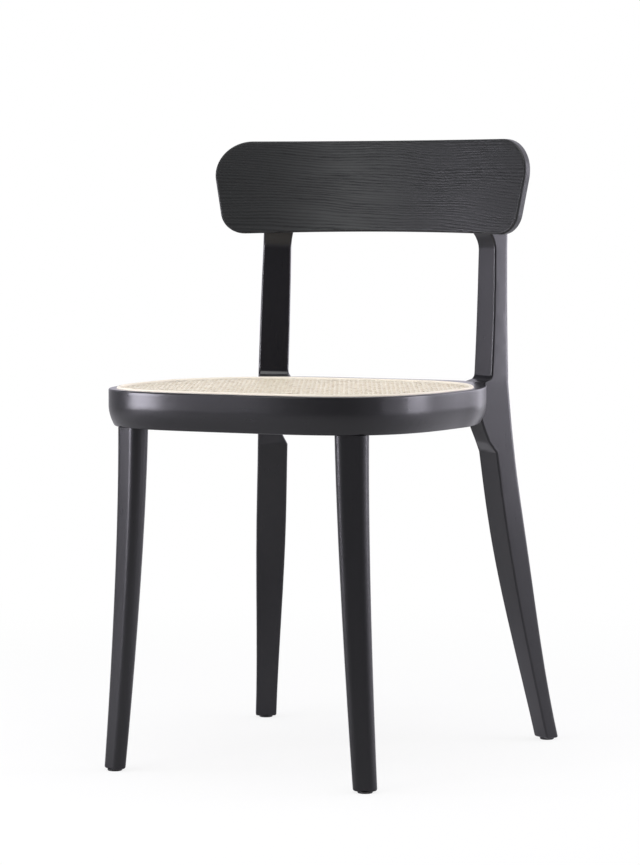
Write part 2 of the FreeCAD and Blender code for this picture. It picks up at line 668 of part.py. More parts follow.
def backrest_panel():
    """A moulded panel, hollow towards the sitter, leaning back, with rounded ends."""
    body = document.addObject("PartDesign::Body", "backrest_body")
    span = value("Sizes.panel_half_width + Sizes.panel_end_waste")
    radius = size("panel_radius")
    outer_radius = value("Sizes.panel_radius + Sizes.panel_thickness")
    centre_y = value("Sizes.panel_middle_y - Sizes.panel_radius")
    plan = new_sketch(body, "panel_plan", "XY_Plane")
    centre = FreeCAD.Vector(0, centre_y, 0)
    for arc_radius in (radius, outer_radius):
        half = math.asin(span / arc_radius)
        circle = Part.Circle(centre, UP, arc_radius)
        plan.addGeometry(Part.ArcOfCircle(circle, math.pi / 2 - half, math.pi / 2 + half))
    for side in (1, -1):
        ends = [FreeCAD.Vector(side * span, centre_y + math.sqrt(arc ** 2 - span ** 2), 0)
                for arc in (radius, outer_radius)]
        plan.addGeometry(Part.LineSegment(*ends))
    plan.addConstraint([
        Sketcher.Constraint("Coincident", 0, 1, 2, 1),
        Sketcher.Constraint("Coincident", 1, 1, 2, 2),
        Sketcher.Constraint("Coincident", 0, 2, 3, 1),
        Sketcher.Constraint("Coincident", 1, 2, 3, 2),
        Sketcher.Constraint("Coincident", 0, 3, 1, 3),
        Sketcher.Constraint("Vertical", 2),
        Sketcher.Constraint("Vertical", 3),
        Sketcher.Constraint("PointOnObject", 0, 3, -2),
        Sketcher.Constraint("Symmetric", 0, 1, 0, 2, -2),
    ])
    name_constraints(plan, {
        "hollow": (Sketcher.Constraint("Radius", 0, radius), "Sizes.panel_radius"),
        "crown": (Sketcher.Constraint("Radius", 1, outer_radius),
                  "Sizes.panel_radius + Sizes.panel_thickness"),
        "centre": (Sketcher.Constraint("DistanceY", 0, 3, -1, 1, -centre_y),
                   "Sizes.panel_radius - Sizes.panel_middle_y"),
        "span": (Sketcher.Constraint("DistanceX", 0, 2, 0, 1, 2 * span),
                 "2 * (Sizes.panel_half_width + Sizes.panel_end_waste)"),
    })
    bind(plan, {"AttachmentOffset.Base.y": "-Sizes.panel_waste * tan(Sizes.panel_recline)",
                "AttachmentOffset.Base.z": "Sizes.panel_bottom - Sizes.panel_waste"})
    pad = body.newObject("PartDesign::Pad", "panel_sheet")
    pad.Profile = plan
    pad.UseCustomVector = True
    pad.AlongSketchNormal = True
    pad.Direction = FreeCAD.Vector(0, math.sin(math.radians(size("panel_recline"))),
                                   math.cos(math.radians(size("panel_recline"))))
    bind(pad, {"Length": "Sizes.panel_height + 2 * Sizes.panel_waste"})
    pocket = trim_panel(body)
    document.recompute()
    edges = [f"Edge{index}" for index, edge in enumerate(pocket.Shape.Edges, start=1)
             if edge.Length > 1.2 * size("panel_thickness")]
    fillet = body.newObject("PartDesign::Fillet", "panel_rounding")
    fillet.Base = (pocket, edges)
    bind(fillet, {"Radius": "Sizes.panel_edge"})
    body.Tip = fillet
    return body


def trim_panel(body):
    """Cuts the panel to its front outline: two rounded ends and an arched lower edge."""
    top_z = value("Sizes.panel_bottom + Sizes.panel_height")
    bottom_z = size("panel_bottom")
    slant = math.radians(size("panel_end_slant"))
    top_round = size("panel_top_round")
    low_round = size("panel_low_round")
    arch = size("panel_low_radius")
    top_x = size("panel_half_width") - top_round
    top_centre = FreeCAD.Vector(top_x, top_z - top_round, 0)
    side_normal = FreeCAD.Vector(math.cos(slant), -math.sin(slant), 0)
    side_down = FreeCAD.Vector(-math.sin(slant), -math.cos(slant), 0)
    # The lower corner's centre lies one radius inside the end, and one radius above the arched edge
    start = top_centre + side_normal * (top_round - low_round)
    arch_centre = FreeCAD.Vector(0, bottom_z - arch, 0)
    reach = start - arch_centre
    along = reach.dot(side_down)
    travel = -along - math.sqrt(along ** 2 - reach.dot(reach) + (arch + low_round) ** 2)
    low_centre = start + side_down * travel
    lean = math.atan2(low_centre.x, low_centre.y - arch_centre.y)

    def mirrored(point, side):
        """The point, or its mirror image on the other side."""
        return FreeCAD.Vector(side * point.x, point.y, 0)

    sketch = new_sketch(body, "panel_front", "XZ_Plane")
    arch_circle = Part.Circle(arch_centre, UP, arch)
    sketch.addGeometry(Part.ArcOfCircle(arch_circle, math.pi / 2 - lean, math.pi / 2 + lean))
    for side in (1, -1):
        low_circle = Part.Circle(mirrored(low_centre, side), UP, low_round)
        top_circle = Part.Circle(mirrored(top_centre, side), UP, top_round)
        low_angles = (-math.pi / 2 - lean, -slant)
        top_angles = (-slant, math.pi / 2)
        if side < 0:
            low_angles = (math.pi + slant, 3 * math.pi / 2 + lean)
            top_angles = (math.pi / 2, math.pi + slant)
        sketch.addGeometry(Part.ArcOfCircle(low_circle, *low_angles))
        sketch.addGeometry(Part.LineSegment(
            mirrored(low_centre + side_normal * low_round, side),
            mirrored(top_centre + side_normal * top_round, side)))
        sketch.addGeometry(Part.ArcOfCircle(top_circle, *top_angles))
    sketch.addGeometry(Part.LineSegment(FreeCAD.Vector(top_x, top_z, 0), FreeCAD.Vector(-top_x, top_z, 0)))
    sketch.addConstraint([
        Sketcher.Constraint("Tangent", 0, 1, 1, 1),
        Sketcher.Constraint("Tangent", 1, 2, 2, 1),
        Sketcher.Constraint("Tangent", 2, 2, 3, 1),
        Sketcher.Constraint("Tangent", 3, 2, 7, 1),
        Sketcher.Constraint("Tangent", 7, 2, 6, 1),
        Sketcher.Constraint("Tangent", 6, 2, 5, 2),
        Sketcher.Constraint("Tangent", 5, 1, 4, 1),
        Sketcher.Constraint("Tangent", 4, 2, 0, 2),
        Sketcher.Constraint("Symmetric", 1, 3, 4, 3, -2),
        Sketcher.Constraint("Symmetric", 3, 3, 6, 3, -2),
        Sketcher.Constraint("Equal", 1, 4),
        Sketcher.Constraint("Equal", 3, 6),
    ])
    name_constraints(sketch, {
        "arch": (Sketcher.Constraint("Radius", 0, arch), "Sizes.panel_low_radius"),
        "low_corner": (Sketcher.Constraint("Radius", 1, low_round), "Sizes.panel_low_round"),
        "top_corner": (Sketcher.Constraint("Radius", 3, top_round), "Sizes.panel_top_round"),
        "top": (Sketcher.Constraint("DistanceY", -1, 1, 7, 1, top_z),
                "Sizes.panel_bottom + Sizes.panel_height"),
        "arch_centre": (Sketcher.Constraint("DistanceY", 0, 3, -1, 1, arch - bottom_z),
                        "Sizes.panel_low_radius - Sizes.panel_bottom"),
        "end": (Sketcher.Constraint("DistanceX", -1, 1, 3, 3, top_x),
                "Sizes.panel_half_width - Sizes.panel_top_round"),
        "slant": (Sketcher.Constraint("Angle", 2, math.pi / 2 - slant),
                  "(90 - Sizes.panel_end_slant) * 1 deg"),
    })
    outer = value("Sizes.panel_half_width + 2 * Sizes.panel_end_waste")
    frame = [FreeCAD.Vector(-outer, bottom_z - outer, 0), FreeCAD.Vector(outer, bottom_z - outer, 0),
             FreeCAD.Vector(outer, top_z + outer, 0), FreeCAD.Vector(-outer, top_z + outer, 0)]
    first = sketch.GeometryCount
    for index, corner in enumerate(frame):
        sketch.addGeometry(Part.LineSegment(corner, frame[(index + 1) % 4]))
        sketch.addConstraint(Sketcher.Constraint("Block", first + index))
    pocket = body.newObject("PartDesign::Pocket", "panel_outline")
    pocket.Profile = sketch
    pocket.Type = 1
    pocket.Midplane = True
    return pocket


# Fasteners, blocks and feet

def inward(side):
    """The direction from a rear leg into the seat, square to its front face."""
    turn = math.radians(size("rear_turn"))
    return FreeCAD.Vector(-SIDES[side] * math.sin(turn), -math.cos(turn), 0)


def across(direction):
    """The level direction square to another."""
    return FreeCAD.Vector(-direction.y, direction.x, 0)


def point_of(path):
    """The point that a path's formulas give."""
    return FreeCAD.Vector(*[value(formula) for formula in path])


def distance_inside(start, direction, shape):
    """How much of a long straight line from start lies inside a shape."""
    line = Part.makeLine(start, start + direction * 2 * size("seat_half_width"))
    return line.common(shape).Length


def distance_to(start, direction, shape):
    """How far a straight line from start runs before it meets a shape."""
    line = Part.makeLine(start, start + direction * 2 * size("seat_half_width"))
    return min((vertex.Point - start).Length for vertex in line.common(shape).Vertexes)


def block_frame(place, side):
    """The middle of a corner block's free face, and the direction from it into the rail."""
    if place == "front":
        turn = math.radians(size("block_front_turn"))
        outward = FreeCAD.Vector(SIDES[side] * math.sin(turn), -math.cos(turn), 0)
        on_line = None
    else:
        outward = -inward(side)
        on_line = point_of(rear_path("Sizes.seat_height", SIDES[side]))
    wall = outline_points("cane", value("Sizes.groove_width + Sizes.land_width"))
    corner = max(wall, key=outward.dot)
    if on_line is None:
        on_line = corner
    offset = corner.dot(outward) - size("block_depth")
    middle = outward * offset + across(outward) * on_line.dot(across(outward))
    middle.z = value("Sizes.seat_height - Sizes.rail_height + Sizes.block_lift + Sizes.block_height / 2")
    return middle, outward


def corner_block(place, side, room_inside):
    """A glued block that fills one corner of the seat's opening."""
    middle, outward = block_frame(place, side)
    box = document.addObject("Part::Box", f"block_{place}_{side}_box")
    bind(box, {"Length": "2 * Sizes.block_depth", "Width": "Sizes.block_length",
               "Height": "Sizes.block_height"})
    start = middle - across(outward) * (size("block_length") / 2) - UP * (size("block_height") / 2)
    box.Placement = FreeCAD.Placement(start, FreeCAD.Rotation(FreeCAD.Vector(1, 0, 0), outward))
    return common(f"block_{place}_{side}_blank", box, room_inside)


def block_screws(opening, room="0"):
    """Two screws through each corner block, or with room the holes for them."""
    screws = []
    for place in ("front", "rear"):
        for side in SIDES:
            middle, outward = block_frame(place, side)
            for step in (-1, 1):
                base = middle + across(outward) * (step * size("block_screw_spread"))
                length = distance_inside(base, outward, opening.Shape) + size("block_screw_bite")
                screws.append(headed(f"block_screw_{place}_{side}", "Sizes.block_screw_radius", length,
                                     "Sizes.block_screw_head", "Sizes.screw_head_height", base,
                                     outward, room))
    return screws


def bolt_places(side):
    """Where the two bolts of a rear leg start, their direction, and the way to their inserts."""
    middle, outward = block_frame("rear", side)
    height = "(Sizes.block_lift + Sizes.block_height / 2)"
    swell = f"(Sizes.knee_swell + (Sizes.seat_swell - Sizes.knee_swell) * {height} / Sizes.rail_height)"
    leg = point_of(rear_path(f"(Sizes.seat_height - Sizes.rail_height + {height})", SIDES[side]))
    to_face = (leg - middle).dot(outward) - value(f"{swell} + Sizes.knee_depth / 2")
    reach = to_face + size("insert_sunk")
    return [(middle + across(outward) * (step * size("bolt_spread")), outward, reach)
            for step in (-1, 1)]


def leg_bolts(side, room="0"):
    """The bolts of one rear leg, or with room the holes for them."""
    bolts = []
    for middle, outward, reach in bolt_places(side):
        base = middle - outward * size("washer_thickness")
        length = f"({reach} + Sizes.washer_thickness + Sizes.bolt_bite)"
        bolts.append(headed(f"bolt_{side}", "Sizes.bolt_radius", length, "Sizes.bolt_head_radius",
                            "Sizes.bolt_head_height", base, outward, room))
    return bolts


def leg_washers(side):
    """The washers under one rear leg's bolts."""
    washers = []
    for middle, outward, reach in bolt_places(side):
        base = middle - outward * size("washer_thickness")
        disc = cylinder(f"washer_disc_{side}", "Sizes.washer_radius", "Sizes.washer_thickness",
                        base, outward)
        hole = cylinder(f"washer_hole_{side}", "Sizes.bolt_radius + Sizes.glue_gap",
                        "Sizes.washer_thickness", base, outward)
        washers.append(cut(f"washer_{side}", disc, hole))
    return washers


def leg_inserts(side, room="0"):
    """The threaded inserts of one rear leg, or with room the holes for them."""
    inserts = []
    for middle, outward, reach in bolt_places(side):
        base = middle + outward * reach
        body = cylinder(f"insert_body_{side}", f"Sizes.insert_radius + {room}",
                        f"Sizes.insert_length + {room}", base, outward)
        if room != "0":
            inserts.append(body)
            continue
        bore = cylinder(f"insert_bore_{side}", "Sizes.bolt_radius + Sizes.glue_gap",
                        "Sizes.insert_length", base, outward)
        inserts.append(cut(f"insert_{side}", body, bore))
    return inserts


def back_screw_places(side, panel):
    """For each screw of one post: its seat in the post, its direction and its length."""
    direction = inward(side)
    places = []
    for step in (-1, 1):
        height = value(f"Sizes.back_screw_height + {step} * Sizes.back_screw_spread")
        middle = point_of(rear_path(str(height), SIDES[side]))
        seat = middle - direction * value(
            "Sizes.waist_depth / 2 - Sizes.plug_depth - Sizes.screw_head_height")
        length = distance_to(seat, direction, panel.Shape) + size("back_screw_bite")
        places.append((seat, direction, length))
    return places


def back_screws(side, panel, room="0"):
    """The screws that hold the panel to one post, or with room the holes for them."""
    return [headed(f"back_screw_{side}", "Sizes.back_screw_radius", length, "Sizes.back_screw_head",
                   "Sizes.screw_head_height", seat, direction, room)
            for seat, direction, length in back_screw_places(side, panel)]


def plug_pins(side, panel, room="0"):
    """Round pins over the screws' heads, long enough to pass the post's back."""
    pins = []
    for seat, direction, length in back_screw_places(side, panel):
        base = seat - direction * size("screw_head_height")
        pins.append(cylinder(f"plug_pin_{side}", f"Sizes.plug_radius + {room}",
                             "2 * Sizes.plug_depth", base, -direction))
    return pins


def foot_places():
    """The middle of each foot's underside."""
    places = {}
    for side, sign in SIDES.items():
        places[f"front_{side}"] = point_of(front_path("Sizes.glide_height", sign))
        places[f"rear_{side}"] = point_of(rear_path("Sizes.glide_height", sign))
    return places


def nail(name, foot, room="0"):
    """The nail of a glide, its head inside the glide, or with room the hole for it."""
    base = foot - UP * value("Sizes.glide_height / 4")
    return headed(name, "Sizes.nail_radius", "Sizes.nail_length", "Sizes.nail_head_radius",
                  "Sizes.nail_head_height", base, UP, room)


def glide(name, foot):
    """A plastic disc under a foot, with a chamfered rim."""
    disc = cylinder(f"{name}_disc", "Sizes.glide_radius", "Sizes.glide_height",
                    foot - UP * size("glide_height"))
    document.recompute()
    rim = [(index, size("glide_edge"), size("glide_edge"))
           for index, edge in enumerate(disc.Shape.Edges, start=1) if edge.BoundBox.ZMax < 0.01]
    rounded = document.addObject("Part::Chamfer", f"{name}_rim")
    rounded.Base = disc
    rounded.Edges = rim
    return cut(name, rounded, nail(f"{name}_nail_hole", foot, "Sizes.glue_gap"))


# The chair, from the floor up

gap = "Sizes.glue_gap"
feet = foot_places()
panel = backrest_panel()
opening_room = slab("opening_room", "cane", f"Sizes.groove_width + Sizes.land_width + {gap}",
                    "Sizes.seat_height - Sizes.rail_height", "Sizes.rail_height")
document.recompute()

# The rail in four pieces, notched for the rear legs and bored for tenons, dowels and bolts
ring = seat_ring(seat_blank())
rear_bodies = {side: rear_leg(side) for side in SIDES}
tenons = []
for side, sign in SIDES.items():
    top = point_of(front_path("(Sizes.seat_height - Sizes.rail_height)", sign))
    tenons.append(cylinder(f"mortise_{side}", f"Sizes.tenon_radius + {gap}",
                           f"Sizes.tenon_length + 2 * {gap} + 1", top - UP))
document.recompute()
holes = tenons + rail_dowels(gap) + block_screws(opening_room, gap)
for side in SIDES:
    holes += leg_bolts(side, gap)
ring_tools = fuse("ring_tools", holes + list(rear_bodies.values()))
bored_ring = cut("bored_ring", ring, ring_tools)
over = "(Sizes.seat_half_width + 5)"
front = "(Sizes.seat_widest_y - Sizes.seat_front_depth - 5)"
rear = "(Sizes.seat_widest_y + Sizes.seat_rear_depth + 5)"
rails = {
    "seat_rail_front": (f"-{over}", over, front, "Sizes.front_joint_y"),
    "seat_rail_left": (f"-{over}", "0", "Sizes.front_joint_y", "Sizes.rear_joint_y"),
    "seat_rail_right": ("0", over, "Sizes.front_joint_y", "Sizes.rear_joint_y"),
    "seat_rail_rear": (f"-{over}", over, "Sizes.rear_joint_y", rear),
}
for label, sides in rails.items():
    keep(common(f"{label}_piece", bored_ring, rail_box(f"{label}_space", *sides)), label)
keep(group("dowels", rail_dowels()), "rail_dowels")

# Cane and its spline
sheet_blank = slab("cane_sheet", "cane", "Sizes.groove_width - Sizes.cane_skirt",
                   "Sizes.seat_height - Sizes.cane_thickness", "Sizes.cane_thickness")
skirt_floor = "Sizes.seat_height - Sizes.cane_thickness - Sizes.cane_skirt_height"
skirt_outer = slab("skirt_outer", "cane", "Sizes.groove_width - Sizes.cane_skirt", skirt_floor,
                   "Sizes.cane_skirt_height")
skirt_inner = slab("skirt_inner", "cane", f"Sizes.groove_width - {gap}", skirt_floor,
                   "Sizes.cane_skirt_height")
skirt = cut("skirt", skirt_outer, skirt_inner)
keep(cut("cane_open", fuse("cane", [sheet_blank, skirt]), mesh_openings()), "cane_webbing")
spline_floor = "Sizes.seat_height - Sizes.groove_depth"
spline_height = "Sizes.groove_depth + Sizes.spline_proud"
spline_outer = slab("spline_outer", "cane", gap, spline_floor, spline_height)
spline_inner = slab("spline_inner", "cane", f"Sizes.groove_width - Sizes.cane_skirt - {gap}",
                    spline_floor, spline_height)
spline_blank = cut("spline_blank", spline_outer, spline_inner)
document.recompute()
spline_top = value("Sizes.seat_height + Sizes.spline_proud")
spline = document.addObject("Part::Fillet", "spline")
spline.Base = spline_blank
spline.Edges = [(index, size("spline_round"), size("spline_round"))
                for index, edge in enumerate(spline_blank.Shape.Edges, start=1)
                if edge.BoundBox.ZMin > spline_top - 0.01]
keep(spline, "cane_spline")

# Corner blocks and their screws
for place in ("front", "rear"):
    for side in SIDES:
        blank = corner_block(place, side, opening_room)
        tools = block_screws(opening_room, gap)
        if place == "rear":
            tools += leg_bolts(side, gap)
        keep(cut(f"block_{place}_{side}", blank, fuse(f"block_{place}_{side}_holes", tools)),
             f"corner_block_{place}_{side}")
keep(group("block_screws", block_screws(opening_room)), "corner_block_screws")

# Front legs
for side in SIDES:
    body = front_leg(side)
    keep(cut(f"front_leg_{side}_bored", body, nail(f"nail_hole_front_{side}", feet[f"front_{side}"], gap)),
         f"front_leg_{side}")

# Rear legs, cut to the panel's back, with their bolts, washers and inserts
bolts = []
washers = []
inserts = []
screws = []
plugs = []
panel_holes = []
for side in SIDES:
    tools = leg_inserts(side, gap) + back_screws(side, panel, gap) + plug_pins(side, panel, gap)
    tools += [panel, nail(f"nail_hole_rear_{side}", feet[f"rear_{side}"], gap)]
    keep(cut(f"rear_leg_{side}_bored", rear_bodies[side], fuse(f"rear_leg_{side}_tools", tools)),
         f"rear_leg_{side}")
    bolts += leg_bolts(side)
    washers += leg_washers(side)
    inserts += leg_inserts(side)
    screws += back_screws(side, panel)
    panel_holes += back_screws(side, panel, gap)
    for pin in plug_pins(side, panel):
        plugs.append(common(f"plug_{side}", pin, rear_bodies[side]))
keep(group("bolts", bolts), "rear_leg_bolts")
keep(group("washers", washers), "rear_leg_washers")
keep(group("inserts", inserts), "rear_leg_inserts")
keep(group("screws", screws), "backrest_screws")
keep(group("plugs", plugs), "backrest_plugs")
keep(cut("panel_bored", panel, fuse("panel_holes", panel_holes)), "backrest_panel")

# Glides and their nails
for name, foot in feet.items():
    keep(glide(f"glide_{name}", foot), f"foot_glide_{name}")
keep(group("nails", [nail(f"nail_{name}", foot) for name, foot in feet.items()]), "glide_nails")

document.recompute()

failed = [thing.Name for thing in document.Objects if {"Invalid", "Error"} & set(thing.State)]
if failed:
    raise RuntimeError(f"These did not build: {failed}")
for label, thing in nodes.items():
    shape = thing.Shape
    if shape.isNull() or not shape.isValid() or not shape.Solids:
        raise RuntimeError(f"{label} is not a sound solid")
os.makedirs("parts", exist_ok=True)
for label, thing in nodes.items():
    thing.Shape.exportStep(f"parts/{label}.step")
whole = Part.makeCompound([thing.Shape for thing in nodes.values()]).BoundBox
print(f"{len(nodes)} pieces, {whole.XLength:.1f} wide, {whole.YLength:.1f} deep, {whole.ZLength:.1f} high,"
      f" middle at x {whole.Center.x:.2f}, y {whole.Center.y:.2f}, lowest z {whole.ZMin:.2f}")
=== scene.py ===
"""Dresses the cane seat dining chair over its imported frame, with plain studio light and a camera.

Lengths are in metres, in the frame's own axes: +Z up, +X to the right of someone who faces the
chair, the front edge towards -Y.
"""

import logging
import math
import random
from dataclasses import dataclass, field
from enum import Enum
from typing import Any, Callable, Optional, Sequence, Union

import bmesh
import bpy
from mathutils import Euler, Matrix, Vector
from mathutils.kdtree import KDTree

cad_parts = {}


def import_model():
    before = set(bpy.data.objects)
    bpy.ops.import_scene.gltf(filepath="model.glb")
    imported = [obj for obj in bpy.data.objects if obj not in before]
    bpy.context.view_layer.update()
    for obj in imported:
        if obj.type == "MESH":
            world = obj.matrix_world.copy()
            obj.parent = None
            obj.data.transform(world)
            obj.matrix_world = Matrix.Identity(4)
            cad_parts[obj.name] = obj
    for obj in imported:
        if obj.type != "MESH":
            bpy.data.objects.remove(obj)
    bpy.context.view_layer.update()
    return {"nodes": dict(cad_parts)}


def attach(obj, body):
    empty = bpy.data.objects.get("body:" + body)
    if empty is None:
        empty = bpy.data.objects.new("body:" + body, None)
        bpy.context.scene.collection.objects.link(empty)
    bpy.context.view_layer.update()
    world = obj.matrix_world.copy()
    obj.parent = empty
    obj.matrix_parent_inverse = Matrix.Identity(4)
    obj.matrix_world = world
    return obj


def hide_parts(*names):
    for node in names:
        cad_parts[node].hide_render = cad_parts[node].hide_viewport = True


log = logging.getLogger("chair")

Pair = tuple[float, float]
Triple = tuple[float, float, float]
Colour = Triple
Socket = bpy.types.NodeSocket
Number = Union[float, "Value"]
GrainRule = Callable[[Vector, Vector], Vector]

ENDS = ("front", "rear")
SIDES = ("left", "right")
WHITE: Colour = (1.0, 1.0, 1.0)

# Sockets of the Mix node that carry its share and colours, by number because their names repeat
MIX_SHARE = 0
MIX_FIRST = 6
MIX_SECOND = 7
MIX_RESULT = 2


# Shader maths

class Value:
    """A socket that carries a number. Arithmetic on it adds Math nodes."""

    def __init__(self, graph: "Graph", socket: Socket) -> None:
        """Keeps the graph and the socket."""
        self.graph = graph
        self.socket = socket

    def _math(self, operation: str, *numbers: Number) -> "Value":
        """One Math node.

        Args:
            operation: the node's operation.
            numbers: what its sockets get, in order.

        Returns:
            The node's result.
        """
        inputs = dict(enumerate(numbers))
        return Value(self.graph, self.graph.node("ShaderNodeMath", {"operation": operation}, inputs))

    def __add__(self, other: Number) -> "Value":
        """self + other"""
        return self._math("ADD", self, other)

    def __sub__(self, other: Number) -> "Value":
        """self - other"""
        return self._math("SUBTRACT", self, other)

    def __mul__(self, other: Number) -> "Value":
        """self * other"""
        return self._math("MULTIPLY", self, other)

    def __rsub__(self, other: Number) -> "Value":
        """other - self"""
        return self._math("SUBTRACT", other, self)

    __radd__ = __add__
    __rmul__ = __mul__

    def absolute(self) -> "Value":
        """self without its sign"""
        return self._math("ABSOLUTE", self)

    def sine(self) -> "Value":
        """The sine of self, in radians"""
        return self._math("SINE", self)

    def at_most(self, other: Number) -> "Value":
        """The smaller of self and other"""
        return self._math("MINIMUM", self, other)

    def step(self, low: float, high: float) -> "Value":
        """A smooth step.

        Args:
            low: where the result is 0.
            high: where the result is 1.

        Returns:
            The result, from 0 to 1.
        """
        share = self.graph.node(
            "ShaderNodeMapRange", {"interpolation_type": "SMOOTHSTEP"},
            {"Value": self, "From Min": low, "From Max": high})
        return Value(self.graph, share)

    def swing(self, amount: float) -> "Value":
        """How far a noise is from its middle, 0.5, times an amount"""
        return (self - 0.5) * amount

    def above(self, least: float) -> "Value":
        """self, from 0 to 1, brought into the range from least to 1"""
        return self * (1 - least) + least


@dataclass(frozen=True)
class Noise:
    """One noise: how often it changes along each axis, its octaves and how strong the fine ones are."""

    scale: Triple
    detail: float = 3
    roughness: float = 0.6


class Graph:
    """The node tree of one material or of the world."""

    def __init__(self, owner: Any) -> None:
        """Empties the owner's node tree.

        Args:
            owner: a material or a world.
        """
        owner.use_nodes = True
        self.owner = owner
        self.tree = owner.node_tree
        self.tree.nodes.clear()

    def add(self, kind: str, settings: Optional[dict[str, Any]] = None,
            inputs: Optional[dict[Any, Any]] = None) -> bpy.types.Node:
        """Adds a node.

        Args:
            kind: the node's type.
            settings: its properties, set before its sockets.
            inputs: a value, Value or socket for each input, by name or number.

        Returns:
            The node.
        """
        item = self.tree.nodes.new(kind)
        for key, setting in (settings or {}).items():
            setattr(item, key, setting)
        for key, given in (inputs or {}).items():
            self.feed(item.inputs[key], given)
        return item

    def node(self, kind: str, settings: Optional[dict[str, Any]] = None,
             inputs: Optional[dict[Any, Any]] = None, output: Union[int, str] = 0) -> Socket:
        """Adds a node as add does, and gives one of its outputs"""
        return self.add(kind, settings, inputs).outputs[output]

    def feed(self, target: Socket, given: Any) -> None:
        """Links or sets one input.

        Args:
            target: the input.
            given: a Value or a socket to link, or else the value to set.
        """
        if isinstance(given, Value):
            given = given.socket
        if isinstance(given, bpy.types.NodeSocket):
            self.tree.links.new(given, target)
        elif target.type == "RGBA":
            target.default_value = (*given[:3], 1)
        else:
            target.default_value = given

    def mix(self, share: Number, first: Any, second: Any) -> Socket:
        """A colour between two others.

        Args:
            share: 0 gives first, 1 gives second.
            first: a colour or a socket.
            second: a colour or a socket.

        Returns:
            The mixed colour.
        """
        return self.node("ShaderNodeMix", {"data_type": "RGBA", "clamp_factor": True},
                         {MIX_SHARE: share, MIX_FIRST: first, MIX_SECOND: second}, MIX_RESULT)

    def vector(self, *parts: Number) -> Socket:
        """A vector of three numbers"""
        return self.node("ShaderNodeCombineXYZ", None, dict(enumerate(parts)))

    def parts(self, vector: Socket) -> tuple["Value", "Value", "Value"]:
        """The three parts of a vector.

        Args:
            vector: the vector.

        Returns:
            Its first, second and third part.
        """
        outputs = self.add("ShaderNodeSeparateXYZ", None, {0: vector}).outputs
        first, second, third = (Value(self, output) for output in outputs)
        return first, second, third

    def place(self) -> Socket:
        """The object's own coordinates"""
        return self.node("ShaderNodeTexCoord", output="Object")

    def attribute(self, name: str) -> Socket:
        """An attribute of the mesh, as a vector"""
        return self.node("ShaderNodeAttribute", {"attribute_name": name}, output="Vector")

    def noise(self, vector: Socket, kind: Noise) -> "Value":
        """Noise from 0 to 1.

        Args:
            vector: where to look it up.
            kind: its scale and octaves.

        Returns:
            The noise.
        """
        scaled = self.node("ShaderNodeVectorMath", {"operation": "MULTIPLY"}, {0: vector, 1: kind.scale})
        return Value(self, self.node("ShaderNodeTexNoise", None, {
            "Vector": scaled, "Scale": 1, "Detail": kind.detail, "Roughness": kind.roughness}))

    def bump(self, height: Number, depth: float, strength: float) -> Socket:
        """A normal from a height.

        Args:
            height: 0 low, 1 high.
            depth: what 1 stands for, in metres.
            strength: the bump's strength.

        Returns:
            The normal.
        """
        return self.node("ShaderNodeBump", None,
                         {"Height": height, "Distance": depth, "Strength": strength})

    def surface(self, sockets: dict[str, Any]) -> None:
        """Ends the material in one Principled shader with the given sockets"""
        self.end(self.node("ShaderNodeBsdfPrincipled", None, sockets))

    def end(self, shader: Socket) -> None:
        """Adds the output node, after the last shader"""
        world = isinstance(self.owner, bpy.types.World)
        self.add("ShaderNodeOutputWorld" if world else "ShaderNodeOutputMaterial", None, {0: shader})


def new_graph(name: str) -> Graph:
    """The node tree of a new material"""
    return Graph(bpy.data.materials.new(name))


# Finishes

@dataclass(frozen=True)
class SatinLacquer:
    """Black satin lacquer over planed wood: nearly even, with fibres just telling through it."""

    name: str = "satin_black_lacquer"
    colour: Colour = (0.0074, 0.0071, 0.0085)
    faded: Colour = (0.0102, 0.0098, 0.0117)
    faded_share: float = 0.4
    roughness: float = 0.29
    specular: float = 0.28
    coat: float = 0.42
    coat_roughness: float = 0.23
    fibre_depth: float = 0.00005
    bump_strength: float = 0.4
    fibre_noise: Noise = Noise((9, 420, 420), 4)
    cloud_noise: Noise = Noise((11, 11, 11), roughness=0.5)
    handling_noise: Noise = Noise((46, 46, 46), 4, 0.62)
    orange_peel_noise: Noise = Noise((900, 900, 900), 2, 0.5)

    def material(self) -> bpy.types.Material:
        """Mixes the lacquer.

        Returns:
            The finished material.
        """
        graph = new_graph(self.name)
        grain = graph.attribute("grain")
        fibres = graph.noise(grain, self.fibre_noise)
        clouds = graph.noise(grain, self.cloud_noise)
        handling = graph.noise(grain, self.handling_noise)
        orange_peel = graph.noise(grain, self.orange_peel_noise)
        shade = clouds.swing(0.5) + fibres.swing(0.6) + self.faded_share
        graph.surface({
            "Base Color": graph.mix(shade, self.colour, self.faded),
            "Roughness": handling.swing(0.05) + fibres.swing(0.06) + self.roughness,
            "Specular IOR Level": self.specular,
            "Coat Weight": self.coat,
            "Coat Roughness": self.coat_roughness,
            "Normal": graph.bump(fibres + orange_peel * 0.25, self.fibre_depth, self.bump_strength),
        })
        return graph.owner


